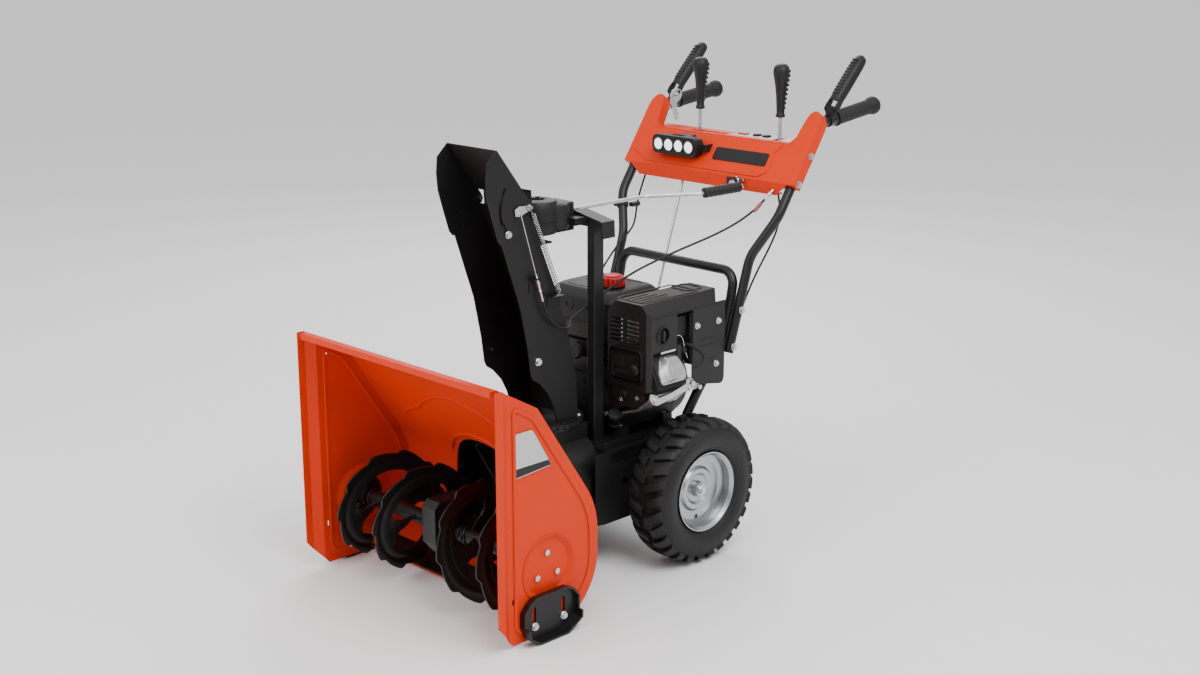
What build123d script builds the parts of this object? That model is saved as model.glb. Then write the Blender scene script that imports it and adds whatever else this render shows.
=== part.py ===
"""Two-stage walk-behind snow blower, modelled in millimetres.

+Z is up and the machine faces -Y, so the operator's left hand is on +X.  Everything is drawn
with y = 0 at the wheel axle and is moved along Y on export, so that the origin ends up on the
ground, midway between the front edge of the auger housing and the rear ends of the grips.
"""

from build123d import *
import os
from math import atan2, cos, degrees, hypot, pi, radians, sin, sqrt, tan

# ---------------------------------------------------------------- driving dimensions
FIT = 0.3                      # gap between curved faces of different moving bodies
SHEET = 2.0                    # sheet steel of housing, chute and guards

# auger housing
CLEARING_WIDTH = 610.0         # over the flat side plates
FRONT_Y = -654.0               # front edge of the side plates
INTAKE_TOP = 541.0             # top lip above the ground
AUGER_Y, AUGER_Z = -508.0, 144.0
AUGER_RADIUS = 126.0
DRUM_GAP = 10.0                # between auger tips and the rear wall
FLOOR_KINK_Y, FLOOR_KINK_Z = -534.0, 483.0     # where the top slope steepens
SLOPE_ANGLE = 56.0             # of the rear wall, from the horizontal
REAR_FILLET = 180.0
PLATE_STEP = 13.5              # how far the front strip of a side plate stands out
STRIP_DEPTH = 17.0             # of that strip, along Y
STEP_DEPTH = 20.0              # of the slanted step behind it
CORNER_CUT = 48.0              # bevel at the lower front corner of the side plates
DISH_RADIUS, DISH_DEPTH = 69.0, 7.0
BEARING_BOLT_CIRCLE = 31.5

# auger
AUGER_SHAFT_R = 12.7
HUB_WALL = 3.2
RIBBON_WIDTH, RIBBON_THICK = 44.0, 5.0
RIBBON_TURNS, RIBBON_START = 1.7, -80.0
RIBBON_STEPS = 20
GEARBOX_HALF = 27.0
WORM_RISE = 38.0               # impeller shaft above the auger shaft

# impeller and its drum
IMPELLER_RADIUS = 129.0
IMPELLER_GAP = 7.0
DRUM_BACK_Y = -182.0
IMPELLER_SHAFT_R = 10.0
BLADE_COUNT = 4

# discharge chute
CHUTE_Y = -245.0               # the chute turns about a vertical line here
OUTLET_R = 60.0
RING_R, RING_THICK = 95.0, 10.0
RING_Z = 327.0
CHUTE_HALF = 75.0              # half width over the chute's side walls
HINGE_Y, HINGE_Z = -345.0, 823.0
CHUTE_REAR = [(-203, RING_Z + RING_THICK), (-203, 380), (-209, 442), (-222, 505), (-240, 565), (-264, 634),
              (-304, 728), (HINGE_Y + 3, HINGE_Z - 11)]      # (y, z) up the chute's rear wall
BRACKET_Z = 724.0              # plate on the chute's back that the turning head drives
GUIDE_R, GUIDE_ANGLE = 75.0, 222.0     # guide bolt, seen from the deflector's hinge
DEFLECTOR_TILT = 70.0
DEFLECTOR_GAP = 0.6            # between the chute's side walls and the deflector's

# tractor frame, axle and wheels
WHEEL_RADIUS = 165.0
TYRE_INNER_X, TYRE_WIDTH = 181.0, 104.0
RIM_RADIUS = 90.5
AXLE_R = 9.5
FRAME_HALF = 151.0
FRAME_FRONT_Y, FRAME_REAR_Y = -222.0, 96.0
FRAME_BOTTOM_Z, DECK_Z = 106.0, 272.0
PLATE = 3.0

# engine
CRANK_Z = 345.0
BLOCK_FRONT_Y, BLOCK_REAR_Y = -108.0, 92.0
PULLEY_Y = -131.0              # middle of both belt pulleys
ENGINE_PULLEY_R, IMPELLER_PULLEY_R = 34.0, 72.0
SHROUD_X = (76.0, 200.0)
SHROUD_Y = (-110.0, 130.0)
SHROUD_Z = (398.0, 590.0)
TANK_X, TANK_Y, TANK_Z = (-150.0, 66.0), (-88.0, 92.0), (470.0, 588.0)
CAP_X, CAP_Y, CAP_R = 0.0, -18.0, 27.0
RECOIL_R, RECOIL_DEPTH = 104.0, 58.0

# handles
TUBE_R, TUBE_WALL = 11.1, 1.8
LOWER_X, UPPER_X = 199.0, 244.0
TUBE_FOOT = (154.0, 439.0)     # (y, z) down the upper handle tube
TUBE_KNEE = (222.0, 650.0)
TUBE_ELBOW = (263.0, 740.0)
TUBE_BEND = (398.0, 938.0)
TUBE_END = (597.0, 962.0)
KNEE_RADIUS, BEND_RADIUS = 90.0, 60.0
GUARD_TOP_Z = 616.0
GUARD_RADIUS = 34.0
GRIP_R, GRIP_BULB_R = 16.5, 21.5
REAR_Y = 617.0                 # rear ends of the grips

# console
CONSOLE_HALF = 264.0
FOLD_Y, FOLD_Z = 290.0, 812.0  # crease between the front face and the lower strip
FACE_HEIGHT, HORN_HEIGHT = 99.0, 188.0
HORN_WIDTH = 44.0
CONSOLE_DEPTH, CONSOLE_WALL = 27.0, 3.0
STRIP_HEIGHT = 28.0
DECK_REAR_Y, DECK_TOP_Z = 404.0, 895.0

# chute crank
HEAD_X, HEAD_Y, HEAD_Z = (-33.0, 33.0), (-262.0, -165.0), (745.0, 806.0)
POST_X, POST_Y = (62.0, 84.0), (-160.0, -130.0)
POST_TOP_Z = 756.0
OUTPUT_PIN_R, HINGE_BOLT_R = 6.0, 3.8
CRANK_START = (0.0, -158.0, 782.0)
EYE = (111.0, 272.0, 807.0)
CRANK_ROD_R, CRANK_GRIP_R, CRANK_THROW = 4.0, 12.0, 60.0

# switches and deck levers
LAMP = (-95.0, 318.0, 866.0)
SHIFT_X, SHIFT_Y, SHIFT_PIVOT_Z = -85.0, 366.0, 790.0
SHIFT_SLOT_X = (-112.0, 2.0)
TILT_X, TILT_Y, TILT_PIVOT_Z = 150.0, 378.0, 830.0
TILT_SLOT_Y = (357.0, 399.0)
KNOB_TOP_Z = 1069.0
SWITCH_Y = 382.0
ROCKER_X = 38.0
BUTTON_X = (80.0, 108.0)
LEVER_R, BOSS_R, PIN_R = 4.5, 9.0, 4.0

# clutch hand levers, (y, z) of the pivot and of the paddle's end
CLUTCH_PIVOT = (446.0, 968.0)
CLUTCH_END = (556.0, 1078.0)
PADDLE_HALF = 15.0

# chute spring, control wire and its sleeve
SPRING_X, SPRING_R = 87.0, 4.8
SPRING_LOW = (SPRING_X, -265.0, 630.0)
WIRE_TOP, WIRE_LOW = (86.0, -372.0, 812.0), (86.0, -329.0, 670.0)
SLEEVE_LENGTH = 52.0
WALL_BOLT = (-319.0, 487.0)    # (y, z) of the spare bolt low on the chute's side walls

# cables and rods
SHIFT_ROD_X, SHIFT_ROD_R, SHIFT_ROD_LOW_Z = -112.0, 3.5, 210.0
TILT_CABLE_R, CLUTCH_CABLE_R = 2.6, 2.4
CABLE_MEET = (50.0, -170.0, 566.0)
TILT_CABLE = [(203, 268, 779), (196, 246, 758), (176, 205, 728), (150, 150, 702), (122, 86, 680), (100, 30, 660),
              (84, -30, 640), (66, -84, 612), (54, -134, 582), CABLE_MEET]
CHUTE_CABLE = [(86, -303, 586), (86, -272, 556), (84, -236, 546), (66, -214, 547), (47, -197, 554), CABLE_MEET]
CLUTCH_CABLE_LEFT = [(208, 306, 783.2), (220, 302, 752), (225, 288, 712), (216, 268, 664), (200, 240, 604),
                     (186, 222, 546), (176, 206, 490), (162, 184, 436), (148, 158, 384), (136, 118, 330),
                     (130, 88, 304), (130, 88, 272.2)]
CLUTCH_CABLE_RIGHT = [(-206, 306, 783.2), (-213, 298, 752), (-212, 282, 712), (-200, 262, 668), (-182, 222, 652),
                      (-172, 170, 628), (-164, 112, 582), (-162, 66, 530), (-160, 40, 474), (-152, 26, 414),
                      (-136, 20, 352), (-128, 20, 272.2)]

# bolt places
HOLE = 0.1                     # extra radius of a hole round its bolt
CROSS_BOLTS = [(157.5, 454.0), (182.5, 535.0)]       # (y, z), upper tube to lower handle
FOOT_BOLTS = [(47.5, 212.0), (49.5, 252.0)]          # (y, z), lower handle to frame
CONSOLE_BOLTS = (10.0, 82.0)   # along the slanted face
BEARING_BOLT_ANGLES = (90, 210, 330)
TURNTABLE_BOLTS = [(x, CHUTE_Y + y) for x in (-70.0, 70.0) for y in (-50.0, 50.0)]

# ---------------------------------------------------------------- derived places
ORIGIN_SHIFT = -(FRONT_Y + REAR_Y) / 2
HALF = CLEARING_WIDTH / 2
DRUM_R = AUGER_RADIUS + DRUM_GAP + SHEET       # outer radius of the curved rear wall
IMPELLER_Z = AUGER_Z + WORM_RISE
BARREL_R = IMPELLER_RADIUS + IMPELLER_GAP + SHEET
AXLE_Z = WHEEL_RADIUS
TUBE_SLOPE = atan2(TUBE_BEND[1] - TUBE_ELBOW[1], TUBE_BEND[0] - TUBE_ELBOW[0])
BARREL_PLACE = Pos(128, -48, CRANK_Z + 62) * Rot(0, -25, 0)
BARREL_LENGTH, BARREL_SIDE = 118.0, 92.0
HOUSING_FLOOR_Z = AUGER_Z - DRUM_R
SCRAPER_THICK = 3.6
GEAR_CASE = [(-57, -18), (-57, 60), (-43, 73), (28, 73), (50, 52), (50, -18), (28, -51), (-28, -51)]
SCRAPER_Y = (AUGER_Y + 21.0, AUGER_Y + 71.0)
SHOE_BOLT_Y = (AUGER_Y - 46.0, AUGER_Y + 33.0)
SHOE_BOLT_Z = HOUSING_FLOOR_Z + 28.0
SHOE_TRAVEL = 28.0
RECOIL_HANDLE_X, RECOIL_HANDLE_Z = -44.0, CRANK_Z + 46.0
PULL_LENGTH = 110.0
GUARD_POINTS = [(FRAME_HALF + TUBE_R + 0.2, 46, 196), (FRAME_HALF + TUBE_R + 0.2, 52, 300), (171, 86, 362),
                (175.5, 150, 442), (175.5, 186, 556), (175.5, 198, GUARD_TOP_Z)]


# ---------------------------------------------------------------- helpers
def block(x, y, z):
    """Box between two corners, each argument a (low, high) pair."""
    centre = [(a + b) / 2 for a, b in (x, y, z)]
    return Pos(*centre) * Box(x[1] - x[0], y[1] - y[0], z[1] - z[0])


def rod(start, end, radius):
    """Round bar between two points."""
    a, b = Vector(*start), Vector(*end)
    plane = Plane(origin=a, z_dir=b - a)
    return extrude(plane * Circle(radius), (b - a).length)


def rod_x(x, y, z, radius):
    return rod((x[0], y, z), (x[1], y, z), radius)


def rod_y(x, y, z, radius):
    return rod((x, y[0], z), (x, y[1], z), radius)


def rod_z(x, y, z, radius):
    return rod((x, y, z[0]), (x, y, z[1]), radius)


def ring_x(x, y, z, outer, inner):
    return rod_x(x, y, z, outer) - rod_x((x[0] - 1, x[1] + 1), y, z, inner)


def prism_x(points, x):
    """Closed (y, z) outline extruded from x[0] to x[1]."""
    face = Plane((x[0], 0, 0), x_dir=(0, 1, 0), z_dir=(1, 0, 0)) * make_face(Polyline(*points, close=True))
    return extrude(face, x[1] - x[0])


def prism_y(points, y):
    """Closed (x, z) outline extruded from y[0] to y[1]."""
    face = Plane((0, y[1], 0), x_dir=(1, 0, 0), z_dir=(0, -1, 0)) * make_face(Polyline(*points, close=True))
    return extrude(face, y[1] - y[0])


def prism_z(points, z):
    """Closed (x, y) outline extruded from z[0] to z[1]."""
    return extrude(Pos(0, 0, z[0]) * make_face(Polyline(*points, close=True)), z[1] - z[0])


def other_side(shape):
    """Mirror image across the centre plane x = 0."""
    return mirror(shape, about=Plane.YZ)


def both(shape):
    return [shape, other_side(shape)]


def hex_bolt(seat, direction, size=8.0, grip=12.0, washer=True):
    """Hexagon bolt: seat is where the head's washer rests, the shank points along direction."""
    axis = Vector(*direction).normalized()
    seat = Vector(*seat)
    out = Plane(origin=seat, z_dir=-axis)
    head = 0.0
    body = extrude(Plane(origin=seat, z_dir=axis) * Circle(size / 2), grip)
    if washer:
        body += extrude(out * Circle(size * 1.05), size * 0.2)
        head = size * 0.2
    top = Plane(origin=seat - axis * head, z_dir=-axis)
    body += extrude(top * RegularPolygon(size * 0.85, 6), size * 0.6)
    return body


def bent_tube(points, radii, outer, inner=0.0):
    """Tube along straight runs with tangent arcs; radii has one entry for each inner point."""
    path = FilletPolyline(*points, radius=radii)
    start = Plane(origin=path @ 0, z_dir=path % 0)
    section = start * Circle(outer)
    if inner:
        section -= start * Circle(inner)
    return sweep(section, path=path)


def loose_radii(points):
    """Bend radii as large as the neighbouring runs allow."""
    radii = []
    for a, b, c in zip(points, points[1:], points[2:]):
        back, ahead = Vector(*b) - Vector(*a), Vector(*c) - Vector(*b)
        half_turn = radians(back.get_angle(ahead)) / 2
        radii.append(0.45 * min(back.length, ahead.length) / tan(half_turn))
    return radii


# ---------------------------------------------------------------- auger housing
def meet(p, u, q, v):
    """Where the line through p along u meets the line through q along v."""
    cross = u[0] * v[1] - u[1] * v[0]
    t = ((q[0] - p[0]) * v[1] - (q[1] - p[1]) * v[0]) / cross
    return (p[0] + t * u[0], p[1] + t * u[1])


def housing_face(front_y=FRONT_Y, inset=0.0):
    """Side view (y, z) of the housing's outer shape, drawn inset from its outer surface."""
    floor_z = AUGER_Z - DRUM_R + inset
    top_z = INTAKE_TOP - inset
    rear_y = AUGER_Y + DRUM_R - inset
    drum_r = DRUM_R - inset
    lip = (FRONT_Y + STRIP_DEPTH, INTAKE_TOP)
    kink = (FLOOR_KINK_Y, FLOOR_KINK_Z)
    upper = atan2(kink[1] - lip[1], kink[0] - lip[0])
    lower = -radians(SLOPE_ANGLE)
    upper_dir, lower_dir = (cos(upper), sin(upper)), (cos(lower), sin(lower))
    on_upper = (kink[0] + inset * sin(upper), kink[1] - inset * cos(upper))
    on_lower = (kink[0] + inset * sin(lower), kink[1] - inset * cos(lower))
    lip_point = meet((0, top_z), (1, 0), on_upper, upper_dir)
    kink_point = meet(on_upper, upper_dir, on_lower, lower_dir)
    corner = meet(on_lower, lower_dir, (rear_y, 0), (0, 1))
    tangent = (REAR_FILLET - inset) * tan(radians(90 - SLOPE_ANGLE) / 2)
    bend_top = (corner[0] - tangent * lower_dir[0], corner[1] - tangent * lower_dir[1])
    bend_low = (rear_y, corner[1] - tangent)
    edges = [
        Line((front_y, floor_z), (front_y, top_z)),
        Line((front_y, top_z), lip_point),
        Line(lip_point, kink_point),
        Line(kink_point, bend_top),
        TangentArc(bend_top, bend_low, tangent=lower_dir),
        Line(bend_low, (rear_y, AUGER_Z)),
        CenterArc((AUGER_Y, AUGER_Z), drum_r, -90, 90),
        Line((AUGER_Y, floor_z), (front_y, floor_z)),
    ]
    return make_face(edges)


def housing_prism(x, inset=0.0, front_y=FRONT_Y):
    plane = Plane((x[0], 0, 0), x_dir=(0, 1, 0), z_dir=(1, 0, 0))
    return extrude(plane * housing_face(front_y, inset), x[1] - x[0])


def bevelled_corner(x):
    """Wedge that takes off the lower front corner of the side plates."""
    low = AUGER_Z - DRUM_R
    points = [(FRONT_Y - 40, low - 40), (FRONT_Y - 40, low + CORNER_CUT + 40),
              (FRONT_Y, low + CORNER_CUT + 7), (FRONT_Y + CORNER_CUT, low), (FRONT_Y + CORNER_CUT + 40, low - 40)]
    return prism_x(points, x)


def housing_side():
    """Left side plate: flat sheet with a stepped-out front strip, a raised panel and a bearing dish."""
    x0, x1 = HALF - SHEET, HALF
    step_y = FRONT_Y + STRIP_DEPTH + STEP_DEPTH
    strip_y = FRONT_Y + STRIP_DEPTH
    section = [(x0, step_y), (x0 + PLATE_STEP, strip_y), (x0 + PLATE_STEP, FRONT_Y), (x1 + PLATE_STEP, FRONT_Y),
               (x1 + PLATE_STEP, strip_y + 1), (x1, step_y + 1), (x1, -200), (x0, -200)]
    sheet = prism_z(section, (0, INTAKE_TOP + 20))
    plate = sheet & housing_prism((x0 - 5, x1 + PLATE_STEP + 5))
    plate -= bevelled_corner((x0 - 5, x1 + PLATE_STEP + 5))
    # pressed panel, a shallow raised field that follows the outline
    field = housing_prism((x1 - 0.5, x1 + 2.2), inset=17, front_y=step_y + 14)
    field -= bevelled_corner((x0 - 5, x1 + 5)).translate((0, 19, 19))
    plate += field
    # bearing dish
    plate -= rod_x((x0 - 5, x1 + 5), AUGER_Y, AUGER_Z, DISH_RADIUS)
    lip = 2.2
    profile = [(x0, DISH_RADIUS + 2), (x1 + lip, DISH_RADIUS + 2), (x1 + lip, DISH_RADIUS),
               (x1 - DISH_DEPTH, DISH_RADIUS - 11), (x1 - DISH_DEPTH, 0), (x1 - DISH_DEPTH - SHEET, 0),
               (x1 - DISH_DEPTH - SHEET, DISH_RADIUS - 10)]
    face = make_face(Polyline(*profile, close=True))
    dish = revolve(face, axis=Axis.X)
    plate += Pos(0, AUGER_Y, AUGER_Z) * dish
    for angle in BEARING_BOLT_ANGLES:
        y = AUGER_Y + BEARING_BOLT_CIRCLE * cos(radians(angle))
        z = AUGER_Z + BEARING_BOLT_CIRCLE * sin(radians(angle))
        plate -= rod_x((x0 - 20, x1 + 9), y, z, 4.2)
    for y in SHOE_BOLT_Y:
        plate -= rod_x((x0 - 20, x1 + 9), y, SHOE_BOLT_Z, 4.2)
    # drain slot and lifting hole
    plate -= block((x0 - 5, x1 + 9), (FRONT_Y + 48, FRONT_Y + 54), (92, 104))
    plate -= rod_x((x0 - 5, x1 + 9), FRONT_Y + 62, INTAKE_TOP - 55, 4)
    return plate


def housing_shell():
    """Rear wall, top slope, lip and floor in one curved sheet, with the round opening to the impeller."""
    x = (-HALF + SHEET, HALF - SHEET)
    low = AUGER_Z - DRUM_R
    shell = housing_prism(x) - housing_prism((x[0] - 1, x[1] + 1), inset=SHEET, front_y=FRONT_Y - 30)
    shell -= block((x[0] - 1, x[1] + 1), (FRONT_Y - 1, SCRAPER_Y[0]), (low - 1, low + 60))
    hem = block(x, (FRONT_Y, FRONT_Y + SHEET), (INTAKE_TOP - 13, INTAKE_TOP))
    shell += hem
    shell -= rod_y(0, (AUGER_Y + 60, DRUM_BACK_Y), IMPELLER_Z, BARREL_R - SHEET)
    return shell


def scraper_bar():
    """Curved wear strip inside the lower edge of the rear wall, from side plate to side plate."""
    x = (-HALF + SHEET, HALF - SHEET)
    outer = DRUM_R - SHEET - 0.9
    strip = ring_x(x, AUGER_Y, AUGER_Z, outer, outer - SCRAPER_THICK)
    return strip & block(x, SCRAPER_Y, (0, AUGER_Z - 60))


def skid_shoe():
    """Left skid shoe: an upright plate with two slots and a turned-out runner."""
    gap = 2.6
    x0 = HALF + gap
    y0, y1 = SHOE_BOLT_Y[0] - 34, SHOE_BOLT_Y[1] + 38
    upright = [(y0, 38), (y0, 72), (y0 + 14, 88), (y0 + 32, 98), (y1 - 34, 98), (y1 - 14, 88),
               (y1, 70), (y1, 24), (y1 - 40, 0), (y0 + 34, 0), (y0 + 8, 16)]
    shoe = prism_x(upright, (x0, x0 + 4))
    # runner and rim turned outwards
    rim = prism_x(upright, (x0, x0 + 24)) - prism_x([(y0 + 4.5, 39), (y0 + 4.5, 70), (y0 + 17, 84.5), (y0 + 33, 93.5),
                                                     (y1 - 35, 93.5), (y1 - 17, 84.5), (y1 - 4.5, 69),
                                                     (y1 - 4.5, 26), (y1 - 41, 4.5), (y0 + 35, 4.5),
                                                     (y0 + 11, 19)], (x0 - 1, x0 + 25))
    rim -= block((x0 + 14, x0 + 25), (y0 - 1, y1 + 1), (40, 99))
    shoe += rim
    for y in SHOE_BOLT_Y:
        slot = block((x0 - 1, x0 + 6), (y - 4.5, y + 4.5), (SHOE_BOLT_Z, SHOE_BOLT_Z + SHOE_TRAVEL + 8))
        slot += rod_x((x0 - 1, x0 + 6), y, SHOE_BOLT_Z, 4.5)
        slot += rod_x((x0 - 1, x0 + 6), y, SHOE_BOLT_Z + SHOE_TRAVEL + 8, 4.5)
        shoe -= slot
    return shoe


def housing_bolts():
    """Bearing bolts, shoe bolts and scraper bolts, all on the fixed housing."""
    bolts = []
    dish_x = HALF - DISH_DEPTH
    for angle in BEARING_BOLT_ANGLES:
        y = AUGER_Y + BEARING_BOLT_CIRCLE * cos(radians(angle))
        z = AUGER_Z + BEARING_BOLT_CIRCLE * sin(radians(angle))
        bolts.append(hex_bolt((dish_x, y, z), (-1, 0, 0), grip=18, washer=False))
    for y in SHOE_BOLT_Y:
        bolts.append(hex_bolt((HALF + 6.9, y, SHOE_BOLT_Z), (-1, 0, 0), grip=20))
    return bolts + [other_side(bolt) for bolt in bolts]


def auger_bearing():
    """Flanged bush inside the left side plate."""
    x1 = HALF - DISH_DEPTH - SHEET
    flange = rod_x((x1 - 5, x1), AUGER_Y, AUGER_Z, 44)
    boss = rod_x((x1 - 24, x1 - 4), AUGER_Y, AUGER_Z, 22)
    bearing = flange + boss
    bearing -= rod_x((x1 - 25, x1 - 3), AUGER_Y, AUGER_Z, AUGER_SHAFT_R + FIT)
    for angle in BEARING_BOLT_ANGLES:
        y = AUGER_Y + BEARING_BOLT_CIRCLE * cos(radians(angle))
        z = AUGER_Z + BEARING_BOLT_CIRCLE * sin(radians(angle))
        bearing -= rod_x((x1 - 6, x1 + 1), y, z, 4.2)
    return bearing


# ---------------------------------------------------------------- auger and gearbox
def auger_shaft():
    end = HALF - DISH_DEPTH - SHEET - 4
    return rod_x((-end, end), AUGER_Y, AUGER_Z, AUGER_SHAFT_R)


def auger_left():
    """Ribbon auger: a hub tube, spokes and a coiled flat ribbon made of short flats."""
    x0, x1 = GEARBOX_HALF + 8, HALF - DISH_DEPTH - SHEET - 28
    ribbon_r = AUGER_RADIUS - RIBBON_WIDTH / 2
    auger = ring_x((x0, x1), 0, 0, AUGER_SHAFT_R + HUB_WALL + FIT, AUGER_SHAFT_R + FIT)
    first, last = x0 + 12, x1 - 10
    pitch = (last - first) / RIBBON_TURNS
    lead = degrees(atan2(pitch, 2 * pi * ribbon_r))
    step = 360 * RIBBON_TURNS / RIBBON_STEPS
    chord = 2 * AUGER_RADIUS * sin(radians(step / 2)) * 1.02
    for k in range(RIBBON_STEPS + 1):
        x = first + (last - first) * k / RIBBON_STEPS
        flat = Box(RIBBON_THICK, chord, RIBBON_WIDTH - 4)
        flat = Pos(0, 0, ribbon_r) * Rot(0, 0, lead) * flat
        if k % 6 == 0:
            spoke_top = ribbon_r
            spoke = block((-3, 3), (-14, 14), (AUGER_SHAFT_R + 1, spoke_top))
            flat += spoke
        auger += Pos(x, 0, 0) * Rot(RIBBON_START + k * step, 0, 0) * flat
    auger -= rod_x((x0 - 1, x1 + 1), 0, 0, AUGER_SHAFT_R + FIT)
    return Pos(0, AUGER_Y, AUGER_Z) * auger


def auger_gearbox():
    """Cast worm gear case on the auger shaft."""
    case = prism_x([(AUGER_Y + y, AUGER_Z + z) for y, z in GEAR_CASE], (-GEARBOX_HALF + 6, GEARBOX_HALF - 6))
    case += rod_x((-GEARBOX_HALF, GEARBOX_HALF), AUGER_Y, AUGER_Z, 27)
    case += rod_y(0, (AUGER_Y - 30, AUGER_Y + 62), IMPELLER_Z, 21)
    case -= rod_x((-GEARBOX_HALF - 1, GEARBOX_HALF + 1), AUGER_Y, AUGER_Z, AUGER_SHAFT_R + FIT)
    case -= rod_y(0, (AUGER_Y - 20, AUGER_Y + 63), IMPELLER_Z, IMPELLER_SHAFT_R + FIT)
    return case


def impeller():
    """Blades on a hub tube."""
    y0, y1 = AUGER_Y + 150, DRUM_BACK_Y - 26
    hub = rod_y(0, (y0, y1), 0, 22)
    wheel = hub
    for k in range(BLADE_COUNT):
        blade = block((-2.5, 2.5), (y0, y1), (15, IMPELLER_RADIUS))
        tip = block((0, 22), (y0, y1), (IMPELLER_RADIUS - 9, IMPELLER_RADIUS - 4))
        wheel += Rot(0, 45 + k * 360 / BLADE_COUNT, 0) * (blade + tip)
    wheel -= rod_y(0, (y0 - 1, y1 + 1), 0, IMPELLER_SHAFT_R)
    return Pos(0, 0, IMPELLER_Z) * wheel


def pulley(radius, bore, width=18.0):
    """V-belt pulley about the Y axis, centred on the origin."""
    groove = 9.0
    profile = [(bore, -width / 2), (radius, -width / 2), (radius, -width / 2 + 3), (radius - groove, -2.5),
               (radius - groove, 2.5), (radius, width / 2 - 3), (radius, width / 2), (bore, width / 2)]
    face = Plane.XY * make_face(Polyline(*profile, close=True))
    return revolve(face, axis=Axis.Y)


def impeller_shaft():
    """Worm shaft from the gearbox to its belt pulley, with the pulley fixed on it."""
    shaft = rod_y(0, (AUGER_Y - 18, PULLEY_Y + 18), IMPELLER_Z, IMPELLER_SHAFT_R)
    wheel = Pos(0, PULLEY_Y, IMPELLER_Z) * pulley(IMPELLER_PULLEY_R, IMPELLER_SHAFT_R - 1)
    return shaft + wheel


def impeller_drum():
    """Barrel behind the housing with its rear plate and the round outlet under the chute."""
    y0 = AUGER_Y + 60
    barrel = rod_y(0, (y0, DRUM_BACK_Y), IMPELLER_Z, BARREL_R)
    base = block((-OUTLET_R - 26, OUTLET_R + 26), (CHUTE_Y - OUTLET_R - 26, DRUM_BACK_Y), (IMPELLER_Z, RING_Z - 1))
    barrel += base
    barrel += rod_z(0, CHUTE_Y, (IMPELLER_Z, RING_Z + RING_THICK - 0.5), OUTLET_R + SHEET)
    barrel += rod_z(0, CHUTE_Y, (RING_Z - 5, RING_Z - 1), RING_R - 3)
    hollow = rod_y(0, (y0 - 1, DRUM_BACK_Y - PLATE), IMPELLER_Z, BARREL_R - SHEET)
    barrel -= hollow
    barrel -= rod_z(0, CHUTE_Y, (IMPELLER_Z, RING_Z + 30), OUTLET_R)
    barrel -= housing_prism((-HALF, HALF))
    barrel -= rod_y(0, (DRUM_BACK_Y - 10, DRUM_BACK_Y + 10), IMPELLER_Z, IMPELLER_SHAFT_R + FIT)
    return barrel


# ---------------------------------------------------------------- discharge chute
def chute_ring():
    """Turntable under the chute."""
    ring = rod_z(0, CHUTE_Y, (RING_Z, RING_Z + RING_THICK), RING_R)
    for x, y in TURNTABLE_BOLTS:
        ring -= rod_z(x, y, (RING_Z + RING_THICK - 6, RING_Z + RING_THICK + 1), 3.5 + HOLE)
    for k in range(36):
        angle = radians(10 * k)
        ring -= rod_z(RING_R * cos(angle), CHUTE_Y + RING_R * sin(angle), (RING_Z - 1, RING_Z + RING_THICK - 3), 3.4)
    ring -= rod_z(0, CHUTE_Y, (RING_Z - 1, RING_Z + RING_THICK + 1), OUTLET_R + SHEET + FIT)
    return ring


def chute_outline():
    """Side view (y, z) of the chute below its hinge."""
    front = [(HINGE_Y - 7, HINGE_Z + 8), (-424, 784), (-418, 762), (-394, 692), (-366, 611), (-347, 521), (-339, 462),
             (-333, 450), (-315, 438), (-291, 412), (-274, 380), (-268, 360), (-262, RING_Z + RING_THICK)]
    return CHUTE_REAR + front


def chute():
    """Folded channel, open to the front, standing on the turntable."""
    outer = prism_x(chute_outline(), (-CHUTE_HALF, CHUTE_HALF))
    inner = block((-CHUTE_HALF + SHEET, CHUTE_HALF - SHEET), (-500, -150), (300, 900))
    back = [(y - SHEET, z) for y, z in CHUTE_REAR]
    inner -= prism_x([(-150, 300), (back[0][0], 300)] + back + [(-150, back[-1][1])], (-CHUTE_HALF, CHUTE_HALF))
    walls = outer - inner
    for x in (-CHUTE_HALF, CHUTE_HALF - SHEET):
        walls += rod_x((x, x + SHEET), HINGE_Y, HINGE_Z, 9)
    z = (RING_Z + RING_THICK, RING_Z + RING_THICK + 22)
    skirt = rod_z(0, CHUTE_Y, z, CHUTE_HALF) - rod_z(0, CHUTE_Y, (z[0] - 1, z[1] + 1), CHUTE_HALF - SHEET)
    skirt &= block((-100, 100), (CHUTE_Y - 100, CHUTE_Y), z)
    walls += skirt
    foot = rod_z(0, CHUTE_Y, (z[0], z[0] + 3), RING_R - 4) - rod_z(0, CHUTE_Y, (z[0] - 1, z[0] + 4), CHUTE_HALF - 8)
    walls += foot
    # rear bracket to the turning head
    back_y = HINGE_Y + (HINGE_Z - BRACKET_Z) * 0.427
    walls += block((-22, 22), (back_y - 3, CHUTE_Y + 20), (BRACKET_Z - 2, BRACKET_Z + 2))
    for x in (-22, 18):
        walls += block((x, x + 4), (back_y - 3, CHUTE_Y - 12), (BRACKET_Z - 24, BRACKET_Z))
    walls -= rod_z(0, CHUTE_Y, (BRACKET_Z - 9, BRACKET_Z + 6), OUTPUT_PIN_R + FIT)
    for x in (-CHUTE_HALF, CHUTE_HALF):
        walls -= rod_x((x - 5, x + 5), HINGE_Y, HINGE_Z, HINGE_BOLT_R + HOLE)
        walls -= rod_x((x - 5, x + 5), *guide_point(), HINGE_BOLT_R + HOLE)
        walls -= rod_x((x - 5, x + 5), *WALL_BOLT, 4.0 + HOLE)
    for x, y in TURNTABLE_BOLTS:
        walls -= rod_z(x, y, z, 3.5 + HOLE)
    return walls


def guide_point(angle=GUIDE_ANGLE):
    return (HINGE_Y + GUIDE_R * cos(radians(angle)), HINGE_Z + GUIDE_R * sin(radians(angle)))


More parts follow.
